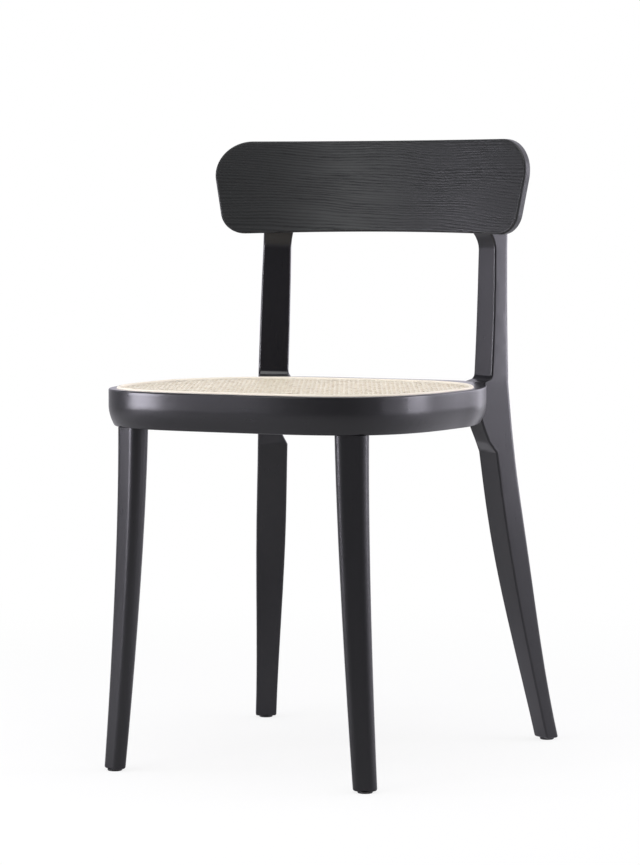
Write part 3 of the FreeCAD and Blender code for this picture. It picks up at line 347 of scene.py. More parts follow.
@dataclass(frozen=True)
class OpenPoreStain:
    """Black stained ash whose pores stay open: growth rings lined with fine dark grooves.

    A ring follows a level through the wood, which climbs along the sheet and through it, and
    sways and ripples on the way.
    """

    name: str = "black_stained_ash"
    late_wood: Colour = (0.0262, 0.0270, 0.0274)
    early_wood: Colour = (0.0140, 0.0145, 0.0148)
    pore: Colour = (0.0036, 0.0037, 0.0038)
    roughness: float = 0.35
    specular: float = 0.25
    pore_depth: float = 0.00016
    bump_strength: float = 0.75
    ring_pitch: float = 0.0036
    ring_unevenness: float = 14
    climb_along: float = 0.035
    climb_through: float = 1.3
    sway: float = 0.036
    ripple: float = 0.0036
    early_step: Pair = (0.35, 0.95)
    pore_step: Pair = (0.46, 0.66)
    stroke_step: Pair = (0.50, 0.68)
    patch_step: Pair = (0.36, 0.60)
    least_pores: float = 0.2
    sway_noise: Noise = Noise((4.6, 2, 8), 1, 0.5)
    ripple_noise: Noise = Noise((15, 20, 60), 2, 0.5)
    uneven_noise: Noise = Noise((0.8, 1, 75), 2)
    pore_noise: Noise = Noise((42, 900, 1900))
    fine_noise: Noise = Noise((14, 300, 1100))
    patch_noise: Noise = Noise((9, 20, 34), 2, 0.5)
    stroke_noise: Noise = Noise((24, 300, 820), 2, 0.5)

    def material(self) -> bpy.types.Material:
        """Mixes the stained wood.

        Returns:
            The finished material.
        """
        graph = new_graph(self.name)
        grain = graph.attribute("grain")
        along, depth, height = graph.parts(grain)
        sway = graph.noise(grain, self.sway_noise).swing(self.sway)
        ripple = graph.noise(grain, self.ripple_noise).swing(self.ripple)
        level = height + along * self.climb_along + sway + ripple + depth * self.climb_through
        wood_place = graph.vector(along, depth, level)
        uneven = graph.noise(wood_place, self.uneven_noise) * self.ring_unevenness
        rings = (level * (2 * math.pi / self.ring_pitch) + uneven).sine()
        early = (rings * 0.5 + 0.5).step(*self.early_step)
        fine = graph.noise(wood_place, self.fine_noise)
        pores = graph.noise(wood_place, self.pore_noise).step(*self.pore_step)
        strokes = graph.noise(wood_place, self.stroke_noise).step(*self.stroke_step)
        patches = graph.noise(wood_place, self.patch_noise).step(*self.patch_step)
        grooves = (pores * 0.75 + strokes * 0.45) * early.above(self.least_pores)
        grooves = grooves * patches.above(self.least_pores)
        wood = graph.mix(early * 0.7 + fine.swing(1.2) + 0.15, self.late_wood, self.early_wood)
        relief = fine * 0.25 - early * (patches * 0.35 + 0.1) - grooves
        graph.surface({
            "Base Color": graph.mix(grooves, wood, self.pore),
            "Roughness": fine.swing(0.16) + grooves * 0.35 + self.roughness,
            "Specular IOR Level": self.specular,
            "Normal": graph.bump(relief, self.pore_depth, self.bump_strength),
        })
        return graph.owner


@dataclass(frozen=True)
class SplitCane:
    """Glossy outer bark of rattan, in strands whose tone and nodes differ, and whose edges are darkened
    with painted shade.
    """

    name: str = "natural_cane"
    pale: Colour = (0.94, 0.90, 0.78)
    tan: Colour = (0.64, 0.53, 0.385)
    eye: Colour = (0.30, 0.20, 0.11)
    tan_share: float = 0.09
    roughness: float = 0.36
    specular: float = 0.5
    node_pace: float = 11.5
    node_shift: float = 0.9
    node_step: Pair = (0.0, 0.08)
    # Where across a strand's width the painted shade at its edges begins and where it is full
    edge_shade_step: Pair = (0.55, 1.0)
    speck_step: Pair = (0.57, 0.72)
    fibre_depth: float = 0.00005
    bump_strength: float = 0.6
    fibre_noise: Noise = Noise((90, 5, 71))
    patch_noise: Noise = Noise((22, 0.2, 37), 2, 0.5)
    speck_noise: Noise = Noise((210, 1.5, 53), 2)

    def material(self) -> bpy.types.Material:
        """Mixes the cane's bark.

        Returns:
            The finished material.
        """
        graph = new_graph(self.name)
        strand = graph.attribute("strand")
        along, cross, tone = graph.parts(strand)
        fibres = graph.noise(strand, self.fibre_noise)
        patches = graph.noise(strand, self.patch_noise)
        specks = graph.noise(strand, self.speck_noise).step(*self.speck_step)
        waves = ((along + tone * self.node_shift) * self.node_pace).sine().absolute()
        nodes = 1 - waves.step(*self.node_step)
        # Painted shade: each strand turns towards tan at both its edges, standing in for the shade on its
        # sides
        side = cross.absolute().step(*self.edge_shade_step)
        shade = tone * 0.28 + side * 0.35 + patches.swing(1.3) + fibres.swing(0.7) + self.tan_share
        bark = graph.mix(shade, self.pale, self.tan)
        graph.surface({
            "Base Color": graph.mix(nodes * 0.5 + specks * 0.75, bark, self.eye),
            "Roughness": fibres.swing(0.22) + nodes * 0.12 + self.roughness,
            "Specular IOR Level": self.specular,
            "Normal": graph.bump(fibres + nodes * 0.8, self.fibre_depth, self.bump_strength),
        })
        return graph.owner


@dataclass(frozen=True)
class PeeledReed:
    """The matt round reed that is driven into the groove over the cane."""

    name: str = "peeled_reed"
    pale: Colour = (0.87, 0.82, 0.72)
    tan: Colour = (0.74, 0.65, 0.52)
    tan_share: float = 0.36
    roughness: float = 0.55
    specular: float = 0.4
    fibre_depth: float = 0.00012
    bump_strength: float = 0.7
    fibre_noise: Noise = Noise((14, 1700, 1700))
    patch_noise: Noise = Noise((12, 60, 60), 2, 0.5)

    def material(self) -> bpy.types.Material:
        """Mixes the reed.

        Returns:
            The finished material.
        """
        graph = new_graph(self.name)
        grain = graph.attribute("grain")
        fibres = graph.noise(grain, self.fibre_noise)
        patches = graph.noise(grain, self.patch_noise)
        shade = fibres.swing(1.3) + patches.swing(0.8) + self.tan_share
        graph.surface({
            "Base Color": graph.mix(shade, self.pale, self.tan),
            "Roughness": fibres.swing(0.3) + self.roughness,
            "Specular IOR Level": self.specular,
            "Normal": graph.bump(fibres, self.fibre_depth, self.bump_strength),
        })
        return graph.owner


@dataclass(frozen=True)
class BareBeech:
    """Planed beech with its short brown flecks."""

    name: str = "bare_beech"
    pale: Colour = (0.60, 0.43, 0.28)
    warm: Colour = (0.44, 0.28, 0.16)
    roughness: float = 0.6
    fleck_step: Pair = (0.6, 0.7)
    fibre_depth: float = 0.0001
    bump_strength: float = 0.6
    fibre_noise: Noise = Noise((40, 40, 500))
    fleck_noise: Noise = Noise((160, 160, 1300), 2, 0.5)

    def material(self) -> bpy.types.Material:
        """Mixes the bare wood.

        Returns:
            The finished material.
        """
        graph = new_graph(self.name)
        place = graph.place()
        fibres = graph.noise(place, self.fibre_noise)
        flecks = graph.noise(place, self.fleck_noise).step(*self.fleck_step)
        graph.surface({
            "Base Color": graph.mix(fibres * 0.8 + flecks * 0.4 - 0.1, self.pale, self.warm),
            "Roughness": fibres.swing(0.2) + self.roughness,
            "Normal": graph.bump(fibres - flecks * 0.3, self.fibre_depth, self.bump_strength),
        })
        return graph.owner


@dataclass(frozen=True)
class TurnedMetal:
    """Plated or turned metal of a fastener, with fine turning marks."""

    name: str
    bright: Colour
    dull: Colour
    roughness: float
    metallic: float = 0.97
    mark_depth: float = 0.00002
    bump_strength: float = 0.5
    mark_noise: Noise = Noise((900, 900, 2600))
    patch_noise: Noise = Noise((260, 260, 260))

    def material(self) -> bpy.types.Material:
        """Mixes the metal.

        Returns:
            The finished material.
        """
        graph = new_graph(self.name)
        place = graph.place()
        marks = graph.noise(place, self.mark_noise)
        patches = graph.noise(place, self.patch_noise)
        graph.surface({
            "Base Color": graph.mix(patches, self.bright, self.dull),
            "Metallic": patches.swing(0.04) + self.metallic,
            "Roughness": marks.swing(0.25) + self.roughness,
            "Normal": graph.bump(marks, self.mark_depth, self.bump_strength),
        })
        return graph.owner


@dataclass(frozen=True)
class MouldedPlastic:
    """Black moulded plastic, scuffed where it meets the floor."""

    name: str = "moulded_black_plastic"
    colour: Colour = (0.014, 0.014, 0.015)
    scuffed: Colour = (0.060, 0.058, 0.056)
    roughness: float = 0.5
    scuffed_height: float = 0.003
    scratch_step: Pair = (0.45, 0.7)
    texture_depth: float = 0.00003
    bump_strength: float = 0.5
    texture_noise: Noise = Noise((2300, 2300, 2300), 2, 0.5)
    scratch_noise: Noise = Noise((420, 420, 420), 4, 0.7)

    def material(self) -> bpy.types.Material:
        """Mixes the plastic.

        Returns:
            The finished material.
        """
        graph = new_graph(self.name)
        place = graph.place()
        height = graph.parts(place)[2]
        low = 1 - height.step(0.0, self.scuffed_height)
        texture = graph.noise(place, self.texture_noise)
        scratches = graph.noise(place, self.scratch_noise).step(*self.scratch_step)
        graph.surface({
            "Base Color": graph.mix(low * scratches, self.colour, self.scuffed),
            "Roughness": texture.swing(0.2) + low * 0.15 + self.roughness,
            "Normal": graph.bump(texture, self.texture_depth, self.bump_strength),
        })
        return graph.owner


ZINC_PLATED_STEEL = TurnedMetal("zinc_plated_steel", (0.60, 0.60, 0.58), (0.44, 0.44, 0.43), 0.34)
TURNED_BRASS = TurnedMetal("turned_brass", (0.72, 0.55, 0.26), (0.52, 0.38, 0.17), 0.3)


# Meshes

SAME_POINT = 0.000002
SHARP_DEGREES = 28
SHARP_STRAND_DEGREES = 50
SHARP_REED_DEGREES = 60


def finished_piece(name: str, builder: bmesh.types.BMesh, finish: bpy.types.Material) -> bpy.types.Object:
    """Makes an object of a bmesh and lets it ride on the chair.

    Args:
        name: the piece's name.
        builder: its mesh, which is freed.
        finish: its material.

    Returns:
        The object, at the origin.
    """
    mesh = bpy.data.meshes.new(name)
    builder.to_mesh(mesh)
    builder.free()
    mesh.materials.append(finish)
    piece = bpy.data.objects.new(name, mesh)
    bpy.context.scene.collection.objects.link(piece)
    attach(piece, "root")
    log.info("%s: %d faces", name, len(mesh.polygons))
    return piece


def smooth_shaded(builder: bmesh.types.BMesh, sharp_degrees: float) -> None:
    """Shades a mesh smooth, and keeps its sharp edges.

    Args:
        builder: the mesh.
        sharp_degrees: edges that turn by more than this stay sharp.
    """
    limit = math.radians(sharp_degrees)
    for face in builder.faces:
        face.smooth = True
    for edge in builder.edges:
        edge.smooth = len(edge.link_faces) == 2 and edge.calc_face_angle(0) < limit


def write_grain(piece: bpy.types.Object, rule: GrainRule) -> None:
    """Writes grain coordinates to the corners of a piece's faces.

    Args:
        piece: the object whose mesh gets them.
        rule: gives them at a point, beside the middle of the point's face.
    """
    mesh = piece.data
    attribute = mesh.attributes.new("grain", "FLOAT_VECTOR", "CORNER")
    flat: list[float] = []
    for face in mesh.polygons:
        for index in face.vertices:
            flat.extend(rule(mesh.vertices[index].co, face.center))
    attribute.data.foreach_set("vector", flat)


def shell_of(node: bpy.types.Object, name: str, finish: bpy.types.Material,
             rule: GrainRule, sharp_degrees: float = SHARP_DEGREES) -> bpy.types.Object:
    """A smoothly shaded copy of a frame node, with the grain's direction in its mesh.

    Args:
        node: the frame's node, which the copy replaces.
        name: the new piece's name.
        finish: its material.
        rule: gives grain coordinates, the first along the fibres.
        sharp_degrees: edges that turn by more than this stay sharp.

    Returns:
        The new piece.
    """
    builder = bmesh.new()
    builder.from_mesh(node.data)
    bmesh.ops.remove_doubles(builder, verts=builder.verts[:], dist=SAME_POINT)
    smooth_shaded(builder, sharp_degrees)
    piece = finished_piece(name, builder, finish)
    write_grain(piece, rule)
    weighted = piece.modifiers.new("weighted_normals", "WEIGHTED_NORMAL")
    weighted.keep_sharp = True
    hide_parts(node.name)
    return piece


# The seat

@dataclass
class SeatPlan:
    """The outer edge of the cane's groove, seen from above.

    Two half superellipses meet on the widest line, and the rear one tapers towards the back.
    """

    widest_y: float = -0.0177
    half_width: float = 0.2083
    front_depth: float = 0.2225
    rear_depth: float = 0.1391
    front_power: float = 3.5
    rear_power: float = 5.0
    taper: float = 0.355
    taper_power: float = 1.5
    corners: int = 720
    edge: list[Vector] = field(init=False)
    runs: list[float] = field(init=False)
    length: float = field(init=False)
    tree: KDTree = field(init=False)

    def __post_init__(self) -> None:
        """Measures the way round the edge, and sets up the search for its nearest point."""
        self.edge = self.outline(0)
        self.runs = [0.0]
        for last, point in zip(self.edge, self.edge[1:]):
            self.runs.append(self.runs[-1] + (point - last).length)
        self.length = self.runs[-1] + (self.edge[0] - self.edge[-1]).length
        self.tree = KDTree(self.corners)
        for index, point in enumerate(self.edge):
            self.tree.insert(point, index)
        self.tree.balance()

    def point(self, angle: float) -> Vector:
        """The edge's point at one angle.

        Args:
            angle: in radians, from the right, with the back at a quarter turn.

        Returns:
            The point, at height 0.
        """
        cosine = math.cos(angle)
        sine = math.sin(angle)
        depth = self.front_depth if sine < 0 else self.rear_depth
        power = self.front_power if sine < 0 else self.rear_power
        reach = (abs(cosine / self.half_width) ** power + abs(sine / depth) ** power) ** (-1 / power)
        along = reach * sine
        lost = self.taper * (max(along, 0) / self.rear_depth) ** self.taper_power
        return Vector((reach * cosine * (1 - lost), along + self.widest_y, 0))

    def outline(self, inset: float) -> list[Vector]:
        """Points round the edge, moved inwards.

        Args:
            inset: how far.

        Returns:
            The points, from the right side on, past the back first.
        """
        points = [self.point(2 * math.pi * step / self.corners) for step in range(self.corners)]
        moved = []
        for index, point in enumerate(points):
            ahead = points[(index + 1) % self.corners] - points[index - 1]
            moved.append(point - Vector((ahead.y, -ahead.x, 0)).normalized() * inset)
        return moved

    def chord(self, points: Sequence[Vector], start: Vector, way: Vector) -> Optional[Pair]:
        """Where a straight line crosses an outline.

        Args:
            points: the outline.
            start: a point of the line.
            way: its direction.

        Returns:
            The two distances from start, or None.
        """
        normal = Vector((-way.y, way.x, 0))
        hits = []
        for index, point in enumerate(points):
            last = points[index - 1]
            before = (last - start).dot(normal)
            after = (point - start).dot(normal)
            if (before < 0) != (after < 0):
                hit = last.lerp(point, before / (before - after))
                hits.append((hit - start).dot(way))
        return (min(hits), max(hits)) if len(hits) == 2 else None

    def reached(self, point: Vector) -> Pair:
        """Where a point lies beside the edge.

        Args:
            point: the point, at any height.

        Returns:
            How far round the edge it lies, and how far outside it.
        """
        flat = Vector((point.x, point.y, 0))
        index = self.tree.find(flat)[1]
        ahead = (self.edge[(index + 1) % self.corners] - self.edge[index - 1]).normalized()
        away = flat - self.edge[index]
        return self.runs[index] + away.dot(ahead), ahead.y * away.x - ahead.x * away.y

    def grain(self, point: Vector, near: Vector) -> Vector:
        """Grain coordinates that follow the rail: along it, across it and up.

        Args:
            point: where.
            near: a point beside it, from which the way round is counted on.

        Returns:
            The coordinates.
        """
        along, across = self.reached(point)
        turns = round((along - self.reached(near)[0]) / self.length)
        return Vector((along - turns * self.length, across, point.z))


class Layer(Enum):
    """The four directions of the weave."""

    LENGTHWAYS = "lengthways"
    CROSSWAYS = "crossways"
    RISING = "rising"
    FALLING = "falling"


@dataclass
class CaneSeat:
    """Open cane webbing: pairs of strands both ways, and single strands along both diagonals.

    A strand's stations are where it bends: distances along it, with its height there.
    """

    finish: bpy.types.Material
    plan: SeatPlan
    middle_height: float = 0.45925
    pitch: float = 0.0127
    strand_width: float = 0.0022
    width_shares: Pair = (0.92, 1.06)
    wander: float = 0.00018
    strand_thickness: float = 0.00046
    crown: float = 0.00014
    pair_offset: float = 0.00122
    pair_lift: float = 0.00026
    bend_reach: float = 2.15
    bend_share: float = 0.45
    diagonal_lift: float = 0.00052
    # Half a wave of a diagonal strand, from one top to the next bottom, in shares of its sizes
    half_wave: tuple[Pair, ...] = (
        (0, 1), (0.21, 0.97), (0.37, 0.62), (0.5, 0), (0.63, -0.62), (0.79, -0.97))
    edge_inset: float = 0.0065
    shortest: float = 0.03
    end_room: float = 0.0006
    skirt_room: float = 0.00045
    # How a strand's end turns down into the groove: shares of skirt_room outwards, and heights
    skirt: tuple[Pair, ...] = ((0, -0.0001), (0.9, -0.0010), (1, -0.0040))
    seed: int = 5
    tones: random.Random = field(init=False)
    edge: list[Vector] = field(init=False)

    def __post_init__(self) -> None:
        """Works out the edge of the woven field."""
        self.tones = random.Random(self.seed)
        self.edge = self.plan.outline(self.edge_inset)

    def pair_stations(self, low: float, high: float, first_sign: int) -> list[Pair]:
        """The stations of a strand of a pair.

        Args:
            low: the strand's start, as a distance from the middle of the weave.
            high: its end.
            first_sign: 1 if it passes over the first strand of each crossing pair.

        Returns:
            Distances and heights, in order.
        """
        near = self.pair_offset
        far = near * self.bend_reach
        lift = self.pair_lift * first_sign
        slope = lift * self.bend_share
        shape = [(-far, slope), (-near, lift), (0, 0), (near, -lift), (far, -slope),
                 (self.pitch / 2, 0)]
        stations = []
        for index in range(math.floor(low / self.pitch) - 1, math.ceil(high / self.pitch) + 2):
            stations += [(index * self.pitch + place, height) for place, height in shape]
        return self._between(stations, low, high)

    def diagonal_stations(self, low: float, high: float, first_over: float) -> list[Pair]:
        """The stations of a diagonal strand.

        Args:
            low: the strand's start.
            high: its end.
            first_over: a distance at which it passes over a pair.

        Returns:
            Distances and heights, in order.
        """
        half = self.pitch / math.sqrt(2)
        first = math.floor((low - first_over) / half) - 1
        last = math.ceil((high - first_over) / half) + 1
        stations = []
        for index in range(first, last):
            top = -self.diagonal_lift if index % 2 else self.diagonal_lift
            start = first_over + index * half
            stations += [(start + share * half, height * top) for share, height in self.half_wave]
        return self._between(stations, low, high)

    def _between(self, stations: list[Pair], low: float, high: float) -> list[Pair]:
        """Cuts a strand to its length and turns its ends down into the groove.

        Args:
            stations: those of a strand that is too long.
            low: its start.
            high: its end.

        Returns:
            The stations from groove to groove.
        """
        inner = [station for station in stations
                 if low + self.end_room < station[0] < high - self.end_room]
        start = [(low - share * self.skirt_room, height) for share, height in reversed(self.skirt)]
        end = [(high + share * self.skirt_room, height) for share, height in self.skirt]
        return start + inner + end

    def strand(self, builder: bmesh.types.BMesh, start: Vector, way: Vector,
               stations: list[Pair]) -> None:
        """Adds one strand, crowned on top.

        Args:
            builder: the mesh that gets it.
            start: the point that the distances count from.
            way: its direction.
            stations: distances and heights along it.
        """
        tone = self.tones.random()
        half_width = self.strand_width / 2 * self.tones.uniform(*self.width_shares)
        shift = self.tones.uniform(-self.wander, self.wander)
        side = Vector((-way.y, way.x, 0))
        layer = builder.verts.layers.float_vector["strand"]
        last = len(stations) - 1
        grid = bmesh.ops.create_grid(builder, x_segments=last, y_segments=2, size=1)
        for vertex in grid["verts"]:
            place, height = stations[round((vertex.co.x + 1) / 2 * last)]
            cross = vertex.co.y
            up = Vector((0, 0, self.middle_height + height + self.crown * (1 - cross ** 2)))
            vertex.co = start + way * place + side * (cross * half_width + shift) + up
            vertex[layer] = (place, cross, tone)
        faces = list({face for vertex in grid["verts"] for face in vertex.link_faces})
        bmesh.ops.recalc_face_normals(builder, faces=faces)
        under = bmesh.ops.extrude_face_region(builder, geom=faces)["geom"]
        lowered = [item for item in under if isinstance(item, bmesh.types.BMVert)]
        bmesh.ops.translate(builder, verts=lowered, vec=(0, 0, -self.strand_thickness))

    def woven(self, layer: Layer) -> bmesh.types.BMesh:
        """All strands of one direction.

        Args:
            layer: which.

        Returns:
            Their mesh.
        """
        builder = bmesh.new()
        builder.verts.layers.float_vector.new("strand")
        if layer in (Layer.LENGTHWAYS, Layer.CROSSWAYS):
            self._pairs(builder, layer)
        else:
            self._diagonals(builder, layer)
        bmesh.ops.recalc_face_normals(builder, faces=builder.faces[:])
        smooth_shaded(builder, SHARP_STRAND_DEGREES)
        return builder

    def _steps(self) -> range:
        """Enough steps of the weave's pitch to cross the seat along a diagonal too"""
        reach = math.ceil(2 * max(point.length for point in self.edge) / self.pitch)
        return range(-reach, reach + 1)

    def _chord(self, start: Vector, way: Vector) -> Optional[Pair]:
        """Where a strand starts and ends, or None where it would miss the seat or be too short"""
        chord = self.plan.chord(self.edge, start, way)
        return chord if chord and chord[1] - chord[0] > self.shortest else None

    def _pairs(self, builder: bmesh.types.BMesh, layer: Layer) -> None:
        """Adds the pairs of strands that run along or across the seat.

        Args:
            builder: the mesh that gets them.
            layer: which of the two directions.
        """
        lengthways = layer is Layer.LENGTHWAYS
        way = Vector((0, 1, 0)) if lengthways else Vector((1, 0, 0))
        step = Vector((1, 0, 0)) if lengthways else Vector((0, 1, 0))
        for index in self._steps():
            for member in (-1, 1):
                start = step * (index * self.pitch + member * self.pair_offset)
                chord = self._chord(start, way)
                if chord:
                    sign = member if lengthways else -member
                    self.strand(builder, start, way, self.pair_stations(*chord, sign))

    def _diagonals(self, builder: bmesh.types.BMesh, layer: Layer) -> None:
        """Adds the single strands along one diagonal.

        Args:
            builder: the mesh that gets them.
            layer: which diagonal.
        """
        rising = layer is Layer.RISING
        way = Vector((1, 1 if rising else -1, 0)).normalized()
        over = self.pitch / math.sqrt(2) if rising else 0
        for index in self._steps():
            start = Vector(((index + 0.5) * self.pitch, 0, 0))
            chord = self._chord(start, way)
            if chord:
                self.strand(builder, start, way, self.diagonal_stations(*chord, over))

    def build(self) -> list[bpy.types.Object]:
        """Weaves the seat.

        Returns:
            One piece for each direction.
        """
        pieces = [finished_piece(f"cane_{layer.value}", self.woven(layer), self.finish)
                  for layer in Layer]
        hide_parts("cane_webbing")
        return pieces


@dataclass
class SeatFrame:
    """The rail in its four pieces, and the reed spline in its groove."""

    nodes: dict[str, bpy.types.Object]
    plan: SeatPlan
    lacquer: bpy.types.Material
    reed: bpy.types.Material

    def build(self) -> None:
        """Dresses the rails and the spline."""
        for part in ("front", "left", "right", "rear"):
            shell_of(self.nodes[f"seat_rail_{part}"], f"rail_{part}_shell", self.lacquer,
                     self.plan.grain)
        shell_of(self.nodes["cane_spline"], "spline_shell", self.reed, self.plan.grain,
                 SHARP_REED_DEGREES)


@dataclass
class Legs:
    """The four legs, whose grain runs up them."""

    nodes: dict[str, bpy.types.Object]
    lacquer: bpy.types.Material

    def grain(self, point: Vector, near: Vector) -> Vector:
        """Grain coordinates that run up a leg"""
        return Vector((point.z, point.x, point.y))

    def build(self) -> None:
        """Dresses the legs."""
        for part in [f"{end}_leg_{side}" for end in ENDS for side in SIDES]:
            shell_of(self.nodes[part], f"{part}_shell", self.lacquer, self.grain)


@dataclass
class Backrest:
    """The curved panel and the plugs over its screws."""

    nodes: dict[str, bpy.types.Object]
    ash: bpy.types.Material
    low_edge: float = 0.647
    hollow_radius: float = 0.470
    middle_y: float = 0.1694
    recline_degrees: float = 7.0

    def grain(self, point: Vector, near: Vector) -> Vector:
        """Grain coordinates that follow the bent sheet: along it, through it and up.

        Args:
            point: where.
            near: a point beside it, which this sheet doesn't need.

        Returns:
            The coordinates.
        """
        height = point.z - self.low_edge
        centre_y = self.middle_y - self.hollow_radius
        centre_y += math.tan(math.radians(self.recline_degrees)) * height
        away = point.y - centre_y
        along = math.atan2(point.x, away) * self.hollow_radius
        return Vector((along, math.hypot(point.x, away) - self.hollow_radius, height))

    def build(self) -> None:
        """Dresses the panel and its plugs."""
        names = {"backrest_panel": "backrest_shell", "backrest_plugs": "backrest_plug_caps"}
        for part, name in names.items():
            shell_of(self.nodes[part], name, self.ash, self.grain)


class Stuff(Enum):
    """What the fittings are made of."""

    BEECH = "beech"
    STEEL = "steel"
    BRASS = "brass"
    PLASTIC = "plastic"


@dataclass
class Fittings:
    """Blocks, dowels, fasteners and glides, which keep their own shapes."""

    nodes: dict[str, bpy.types.Object]
    finishes: dict[Stuff, bpy.types.Material]

    def build(self) -> None:
        """Gives each node the finish of its kind."""
        corners = [f"{end}_{side}" for end in ENDS for side in SIDES]
        kinds = {
            Stuff.BEECH: ["rail_dowels"] + [f"corner_block_{corner}" for corner in corners],
            Stuff.STEEL: ["corner_block_screws", "rear_leg_bolts", "rear_leg_washers",
                          "backrest_screws", "glide_nails"],
            Stuff.BRASS: ["rear_leg_inserts"],
            Stuff.PLASTIC: [f"foot_glide_{corner}" for corner in corners],
        }
        for kind, names in kinds.items():
            for name in names:
                mesh = self.nodes[name].data
                mesh.materials.clear()
                mesh.materials.append(self.finishes[kind])
                log.info("%s: %s", name, kind.value)


# The room

@dataclass(frozen=True)
class Softbox:
    """One rectangular lamp.

    azimuth is counted like the camera's, to the right of the chair's front, in degrees.
    """

    name: str
    azimuth: float
    distance: float
    height: float
    width: float
    tall: float
    watts: float
    aim_height: float
    colour: Colour = (0.91, 0.88, 1.0)

    def build(self) -> None:
        """Hangs the lamp and aims it at the chair."""
        lamp = bpy.data.lights.new(self.name, "AREA")
        lamp.shape = "RECTANGLE"
        lamp.size = self.width
        lamp.size_y = self.tall
        lamp.energy = self.watts
        lamp.color = self.colour
        angle = math.radians(self.azimuth)
        place = Vector((math.sin(angle) * self.distance, -math.cos(angle) * self.distance, self.height))
        view = Vector((0, 0, self.aim_height)) - place
        item = bpy.data.objects.new(self.name, lamp)
        item.location = place
        item.rotation_euler = view.to_track_quat("-Z", "Y").to_euler()
        item.visible_camera = False
        bpy.context.scene.collection.objects.link(item)
        log.info("lamp %s", self.name)


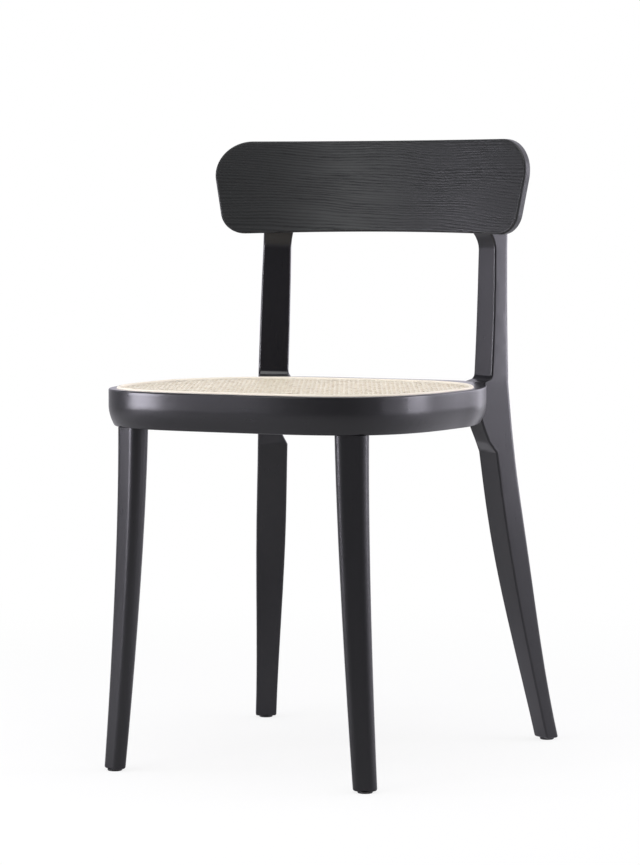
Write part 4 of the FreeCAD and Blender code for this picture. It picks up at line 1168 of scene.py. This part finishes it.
@dataclass
class Studio:
    """A pale floor, a white background, soft lamps and the camera.

    What the chair mirrors is tinted, and goes from a bright side to a dark one. mirrored_room and
    mirrored_floor say how bright both sides are, and dark_turn which way the dark one lies.
    """

    camera_place: Triple = (1.8383, -3.5965, 0.6770)
    camera_turn: float = 27.09
    camera_tilt: float = 3.913
    lens: float = 136.5
    sensor_width: float = 36.0
    farthest_seen: float = 60.0
    room_level: float = 0.40
    tint: Colour = (0.91, 0.88, 1.0)
    mirrored_room: Pair = (1.2, 0.084)
    mirrored_floor: Pair = (0.88, 0.2662)
    dark_turn: float = -30.0
    dark_step: Pair = (-0.95, 0.60)
    floor_half: float = 14.0
    floor_paint: Colour = (0.86, 0.86, 0.86)
    white_distances: Pair = (0.4, 1.6)
    least_white: float = 0.82
    mirrored_glow: float = 0.5
    # Name, azimuth, distance, height, width, how tall, watts, height aimed at, and colour
    lamps: tuple[Softbox, ...] = (
        Softbox("left_strip", -54, 2.3, 0.52, 1.0, 0.36, 28, 0.52),
        Softbox("left_panel", -40, 2.6, 0.55, 1.9, 0.6, 6, 0.55),
        Softbox("left_wing", -86, 2.6, 0.78, 1.3, 0.5, 3, 0.78),
        Softbox("front_panel", -18, 2.7, 1.35, 1.0, 0.7, 15, 1.35, (0.97, 1.0, 1.0)),
        Softbox("right_strip", 117, 2.4, 0.62, 0.95, 0.6, 17, 0.62),
        Softbox("rear_panel", 150, 2.7, 0.80, 1.2, 1.0, 8, 0.8),
        Softbox("rear_strip", 172, 2.6, 0.60, 0.5, 0.9, 1.6, 0.6),
        Softbox("right_panel", 100, 2.7, 1.05, 2.4, 1.6, 19, 1.05),
        Softbox("top_panel", 20, 0.5, 2.9, 2.2, 2.2, 45, 0, WHITE),
    )

    def build(self) -> None:
        """Sets up the room."""
        self._camera()
        self._world()
        self._floor()
        for lamp in self.lamps:
            lamp.build()
        bpy.context.scene.view_settings.view_transform = "Standard"

    def _camera(self) -> None:
        """Puts up the camera, at the photograph's angle."""
        camera = bpy.data.cameras.new("camera")
        camera.lens = self.lens
        camera.sensor_width = self.sensor_width
        camera.clip_end = self.farthest_seen
        item = bpy.data.objects.new("camera", camera)
        item.location = self.camera_place
        item.rotation_euler = Euler((math.radians(90 - self.camera_tilt), 0,
                                     math.radians(self.camera_turn)))
        bpy.context.scene.collection.objects.link(item)
        bpy.context.scene.camera = item

    def _seen(self, graph: Graph) -> tuple[Value, Value]:
        """Tells the kinds of rays apart.

        Args:
            graph: the node tree that asks.

        Returns:
            1 for the eye, and 1 for what is mirrored or seen through something.
        """
        rays = graph.add("ShaderNodeLightPath").outputs
        eye, mirrored, through = (Value(graph, rays[f"Is {kind} Ray"])
                                  for kind in ("Camera", "Glossy", "Transmission"))
        return eye, (mirrored + through).at_most(1)

    def _mirrored(self, graph: Graph, direction: Socket, levels: Pair) -> Socket:
        """What the chair mirrors in one direction.

        Args:
            graph: the node tree that asks.
            direction: a vector of length 1.
            levels: how bright it is on the bright side and on the dark one.

        Returns:
            The tinted colour.
        """
        across, along, _ = graph.parts(direction)
        turn = math.radians(self.dark_turn)
        facing = across * math.sin(turn) - along * math.cos(turn)
        bright, dark = ([part * level for part in self.tint] for level in levels)
        return graph.mix(facing.step(*self.dark_step), bright, dark)

    def _world(self) -> None:
        """Makes the room white for the eye, and dimmer for the light that it gives the chair."""
        world = bpy.data.worlds.new("room")
        bpy.context.scene.world = world
        graph = Graph(world)
        eye, mirrored = self._seen(graph)
        direction = graph.node("ShaderNodeTexCoord", output="Generated")
        unseen = graph.mix(mirrored, [self.room_level] * 3,
                           self._mirrored(graph, direction, self.mirrored_room))
        graph.end(graph.node("ShaderNodeBackground", None, {"Color": graph.mix(eye, unseen, WHITE)}))

    def _floor(self) -> None:
        """Lays a wide pale floor that keeps the chair's shadow and turns white further off."""
        builder = bmesh.new()
        bmesh.ops.create_grid(builder, x_segments=2, y_segments=2, size=self.floor_half)
        mesh = bpy.data.meshes.new("floor")
        builder.to_mesh(mesh)
        builder.free()
        floor = bpy.data.objects.new("floor", mesh)
        bpy.context.scene.collection.objects.link(floor)
        mesh.materials.append(self._floor_finish())

    def _floor_finish(self) -> bpy.types.Material:
        """Mixes the floor's paint with the white that the eye sees further off.

        Returns:
            The finished material.
        """
        graph = new_graph("pale_floor")
        eye, mirrored = self._seen(graph)
        place = graph.place()
        distance = Value(graph, graph.node("ShaderNodeVectorMath", {"operation": "LENGTH"},
                                           {0: place}, "Value"))
        away = graph.node("ShaderNodeVectorMath", {"operation": "NORMALIZE"}, {0: place})
        lit = graph.node("ShaderNodeBsdfDiffuse", None, {"Color": self.floor_paint})
        colour = graph.mix(mirrored, WHITE, self._mirrored(graph, away, self.mirrored_floor))
        glow = graph.node("ShaderNodeEmission", None, {"Color": colour})
        white = distance.step(*self.white_distances).above(self.least_white)
        share = eye * white + mirrored * self.mirrored_glow
        graph.end(graph.node("ShaderNodeMixShader", None, {0: share, 1: lit, 2: glow}))
        return graph.owner


def main() -> None:
    """Builds the chair's dressing and the room."""
    logging.basicConfig(level=logging.INFO, format="%(name)s: %(message)s")
    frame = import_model()
    nodes = frame["nodes"]
    plan = SeatPlan()
    lacquer = SatinLacquer().material()
    ash = OpenPoreStain().material()
    SeatFrame(nodes, plan, lacquer, PeeledReed().material()).build()
    CaneSeat(SplitCane().material(), plan).build()
    Legs(nodes, lacquer).build()
    Backrest(nodes, ash).build()
    Fittings(nodes, {
        Stuff.BEECH: BareBeech().material(),
        Stuff.STEEL: ZINC_PLATED_STEEL.material(),
        Stuff.BRASS: TURNED_BRASS.material(),
        Stuff.PLASTIC: MouldedPlastic().material(),
    }).build()
    Studio().build()


if __name__ == "__main__":
    main()
